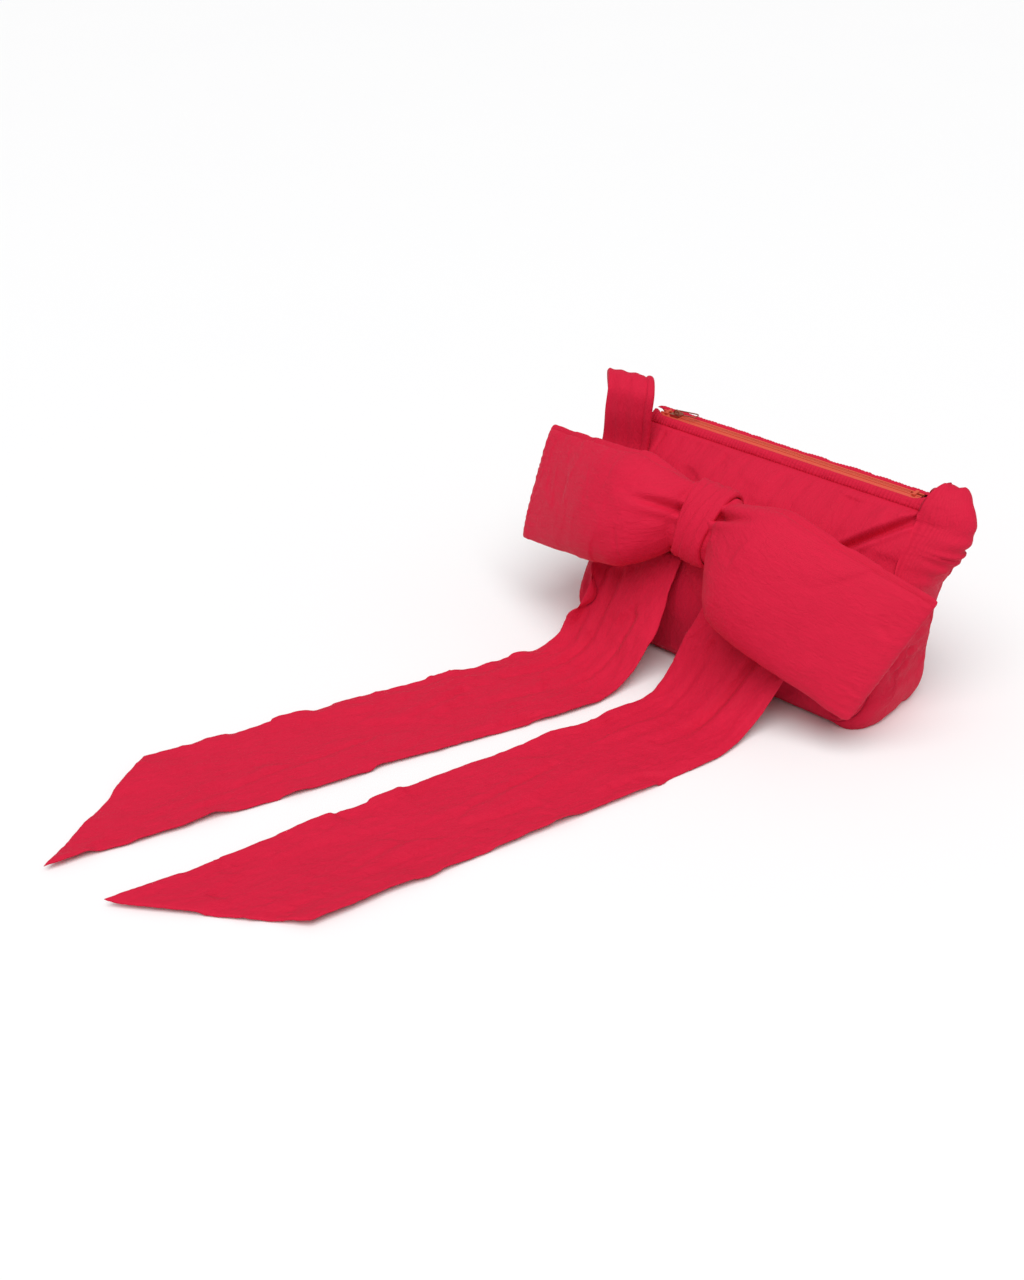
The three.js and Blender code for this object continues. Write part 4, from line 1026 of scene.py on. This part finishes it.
def strap_route():
    """Places and width directions of the strap: up in front of the zip's left end, over,
    down into a U behind the bag and up to the right end of the gusset."""
    left, right = -HALF_WIDTH, HALF_WIDTH
    mouth, top = zip_middle[1], zip_middle[2]
    behind = back_base[1] + BACK_PUFF + 2 * PAD_MIDDLE
    hang = STRAP_WIDTH / 2 + STRAP_LIFT
    route = [
        ([left + 2, mouth - 51, top - 44], [0.98, 0.2, 0]),
        ([left + 2, mouth - 40, top - 21], [0.98, 0.2, 0]),
        ([left + 2, mouth - 37, top + 9], [0.98, 0.2, 0]),
        ([left + 1, mouth - 33, top + 26], [0.98, 0.2, 0]),
        ([left - 8, mouth - 22, top + 34], [0.98, 0.2, 0]),
        ([left - 21, mouth - 8, top + 27], [0.97, 0.2, 0]),
        ([left - 31, mouth + 5, top + 4], [0.98, 0.1, 0.1]),
        ([left - 32, mouth + 15, top - 25], [0.98, 0, 0.1]),
        ([left - 22, behind - 8, top - 64], [0.97, 0, 0.2]),
        ([left + 2, behind - 2, hang + 37], [0.8, 0, 0.6]),
        ([left + 46, behind, hang + 8], [0.35, 0, 0.93]),
        ([left / 3, behind, hang], [0, 0, 1]),
        ([right / 9, behind, hang], [0, 0, 1]),
        ([right - 88, behind, hang + 12], [-0.4, 0, 0.92]),
        ([right - 50, behind - 1, hang + 42], [-0.75, 0, 0.66]),
        ([right - 24, behind - 2, top - 62], [-0.94, 0, 0.34]),
        ([right - 18, mouth + 33, top - 22], [-1, -0.1, 0.1]),
        ([right - 15, mouth + 30, top - 6], [-0.95, -0.3, 0]),
        ([right - 8, mouth + 20, top + 1], [-0.9, -0.4, 0]),
        ([right - 3, mouth + 9, top - 4], [-0.9, -0.4, 0]),
    ]
    places, turns = zip(*route)
    return np.array(places, float), np.array(turns, float)


def strap_piece():
    """The strap over (share of its route, share across): a flat tube of cloth with long soft
    pleats and a flange sewn down one edge, drawn in where it enters the right corner."""
    rows, columns = 380, 40
    places, turns = strap_route()
    t = np.linspace(0, 1, rows)
    middle = smooth_path(places, t)
    across = unit(smooth_path(turns, t))
    along = unit(np.gradient(middle, axis=0))
    face = unit(np.cross(along, across))
    travelled = run_length(middle)
    q = edge_spaced(columns, 0.6)[None, :]
    distance = travelled[:, None]
    to_end = travelled[-1] - distance
    half = STRAP_WIDTH / 2 * mix(STRAP_END_SHARE, 1.0, ramp(to_end, 0, STRAP_TAPER))
    place = grid(distance, q * half)
    flange = -1.6 * bell(q, 0.66, 0.05)
    wander = 0.25 * waves(grid(distance, 0 * distance), 120, 91)
    pleats = 0.9 * np.cos(2 * np.pi * (q * 1.6 + wander))
    loose = 0.7 * waves(place * np.array([0.4, 1.0]), 20, 92)
    away = np.minimum((1 - np.abs(q)) * half, np.minimum(distance, to_end))
    wall = 0.86 * STRAP_WALL / 2 * rounded_edge(away, 3.0)
    front = wall + (flange + pleats + loose) * rounded_edge(away, 6)
    back = wall + (pleats * -0.6 + flange) * rounded_edge(away, 6)
    sheet = middle[:, None] + across[:, None] * (q * half)[..., None]
    outer = sheet + face[:, None] * np.maximum(front, 0.05)[..., None]
    inner = sheet - face[:, None] * np.maximum(back, 0.05)[..., None]
    uv = grid(q * half, distance)
    made = skin("strap_cloth", both_sides(outer, inner), both_sides(uv, uv), crimson)
    return made, float(travelled[-1])


strap_cloth, strap_length = strap_piece()
settle(strap_cloth, "shoulder_strap")


# Label


def label_piece():
    """A small tape over (share down, share across): thin, with a slight curl away from the side."""
    low, high = (np.array(corner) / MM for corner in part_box("side_label"))
    z = mix(low[2], high[2], (edge_spaced(20) + 1) / 2)[:, None]
    y = mix(low[1], high[1], (edge_spaced(16) + 1) / 2)[None, :]
    curl = 0.5 * np.sin(np.pi * (z - low[2]) / (high[2] - low[2])) + 0.2 * waves(grid(z, y), 9, 95)
    edge = np.minimum(np.minimum(y - low[1], high[1] - y), np.minimum(z - low[2], high[2] - z))
    wall = 0.35 * rounded_edge(edge, 0.8) + 0.02
    outer = grid(high[0] - 0.4 - wall - curl, y, z)
    inner = grid(high[0] - 0.4 + wall - curl, y, z)
    uv = grid(y, z)
    return skin("label_tape", both_sides(outer, inner), both_sides(uv, uv), label_white)


label_tape = settle(label_piece(), "side_label")


# Floor, light and camera


def pale_floor():
    """A wide flat floor in a plain pale finish."""
    mesh = bpy.data.meshes.new("floor")
    reach = FLOOR_REACH
    mesh.from_pydata(
        [(-reach, -reach, 0), (reach, -reach, 0), (reach, reach, 0), (-reach, reach, 0)],
        [],
        [(0, 1, 2, 3)],
    )
    made, tree, shader = bare_material("pale floor")
    place = tree.nodes.new("ShaderNodeTexCoord").outputs["Object"]
    tone = noise_node(tree, place, 3.0, 2.0)
    tree.links.new(
        mixed_colour(tree, tone, (0.925, 0.925, 0.93, 1), (0.935, 0.935, 0.935, 1)),
        shader.inputs["Base Color"],
    )
    shader.inputs["Roughness"].default_value = 0.6
    shader.inputs["Specular IOR Level"].default_value = 0.2
    mesh.materials.append(made)
    obj = bpy.data.objects.new("floor", mesh)
    bpy.context.scene.collection.objects.link(obj)


def soft_sun(name, source, spread, power):
    """A wide, even light from the direction of its source."""
    data = bpy.data.lights.new(name, "SUN")
    data.angle = math.radians(spread)
    data.energy = power
    obj = bpy.data.objects.new(name, data)
    obj.rotation_mode = "QUATERNION"
    obj.rotation_quaternion = Vector(source).to_track_quat("Z", "Y")
    bpy.context.scene.collection.objects.link(obj)


pale_floor()
soft_sun("high soft light", SUN_FROM, SUN_SPREAD, SUN_POWER)
world = bpy.data.worlds.new("studio")
world.use_nodes = True
world.node_tree.nodes["Background"].inputs["Color"].default_value = (1, 1, 1, 1)
world.node_tree.nodes["Background"].inputs["Strength"].default_value = SKY_POWER
bpy.context.scene.world = world
bpy.context.scene.view_settings.view_transform = "Standard"

camera_data = bpy.data.cameras.new("camera")
camera_data.sensor_width = SENSOR
camera_data.lens = SENSOR * LENS_PIXELS / IMAGE_LONG_SIDE
camera = bpy.data.objects.new("camera", camera_data)
camera.location = CAMERA_PLACE
towards = Vector((
    -math.sin(CAMERA_AZIMUTH) * math.cos(CAMERA_ELEVATION),
    math.cos(CAMERA_AZIMUTH) * math.cos(CAMERA_ELEVATION),
    -math.sin(CAMERA_ELEVATION),
))
camera.rotation_mode = "QUATERNION"
camera.rotation_quaternion = towards.to_track_quat("-Z", "Y")
bpy.context.scene.collection.objects.link(camera)
bpy.context.scene.camera = camera

bpy.context.view_layer.update()
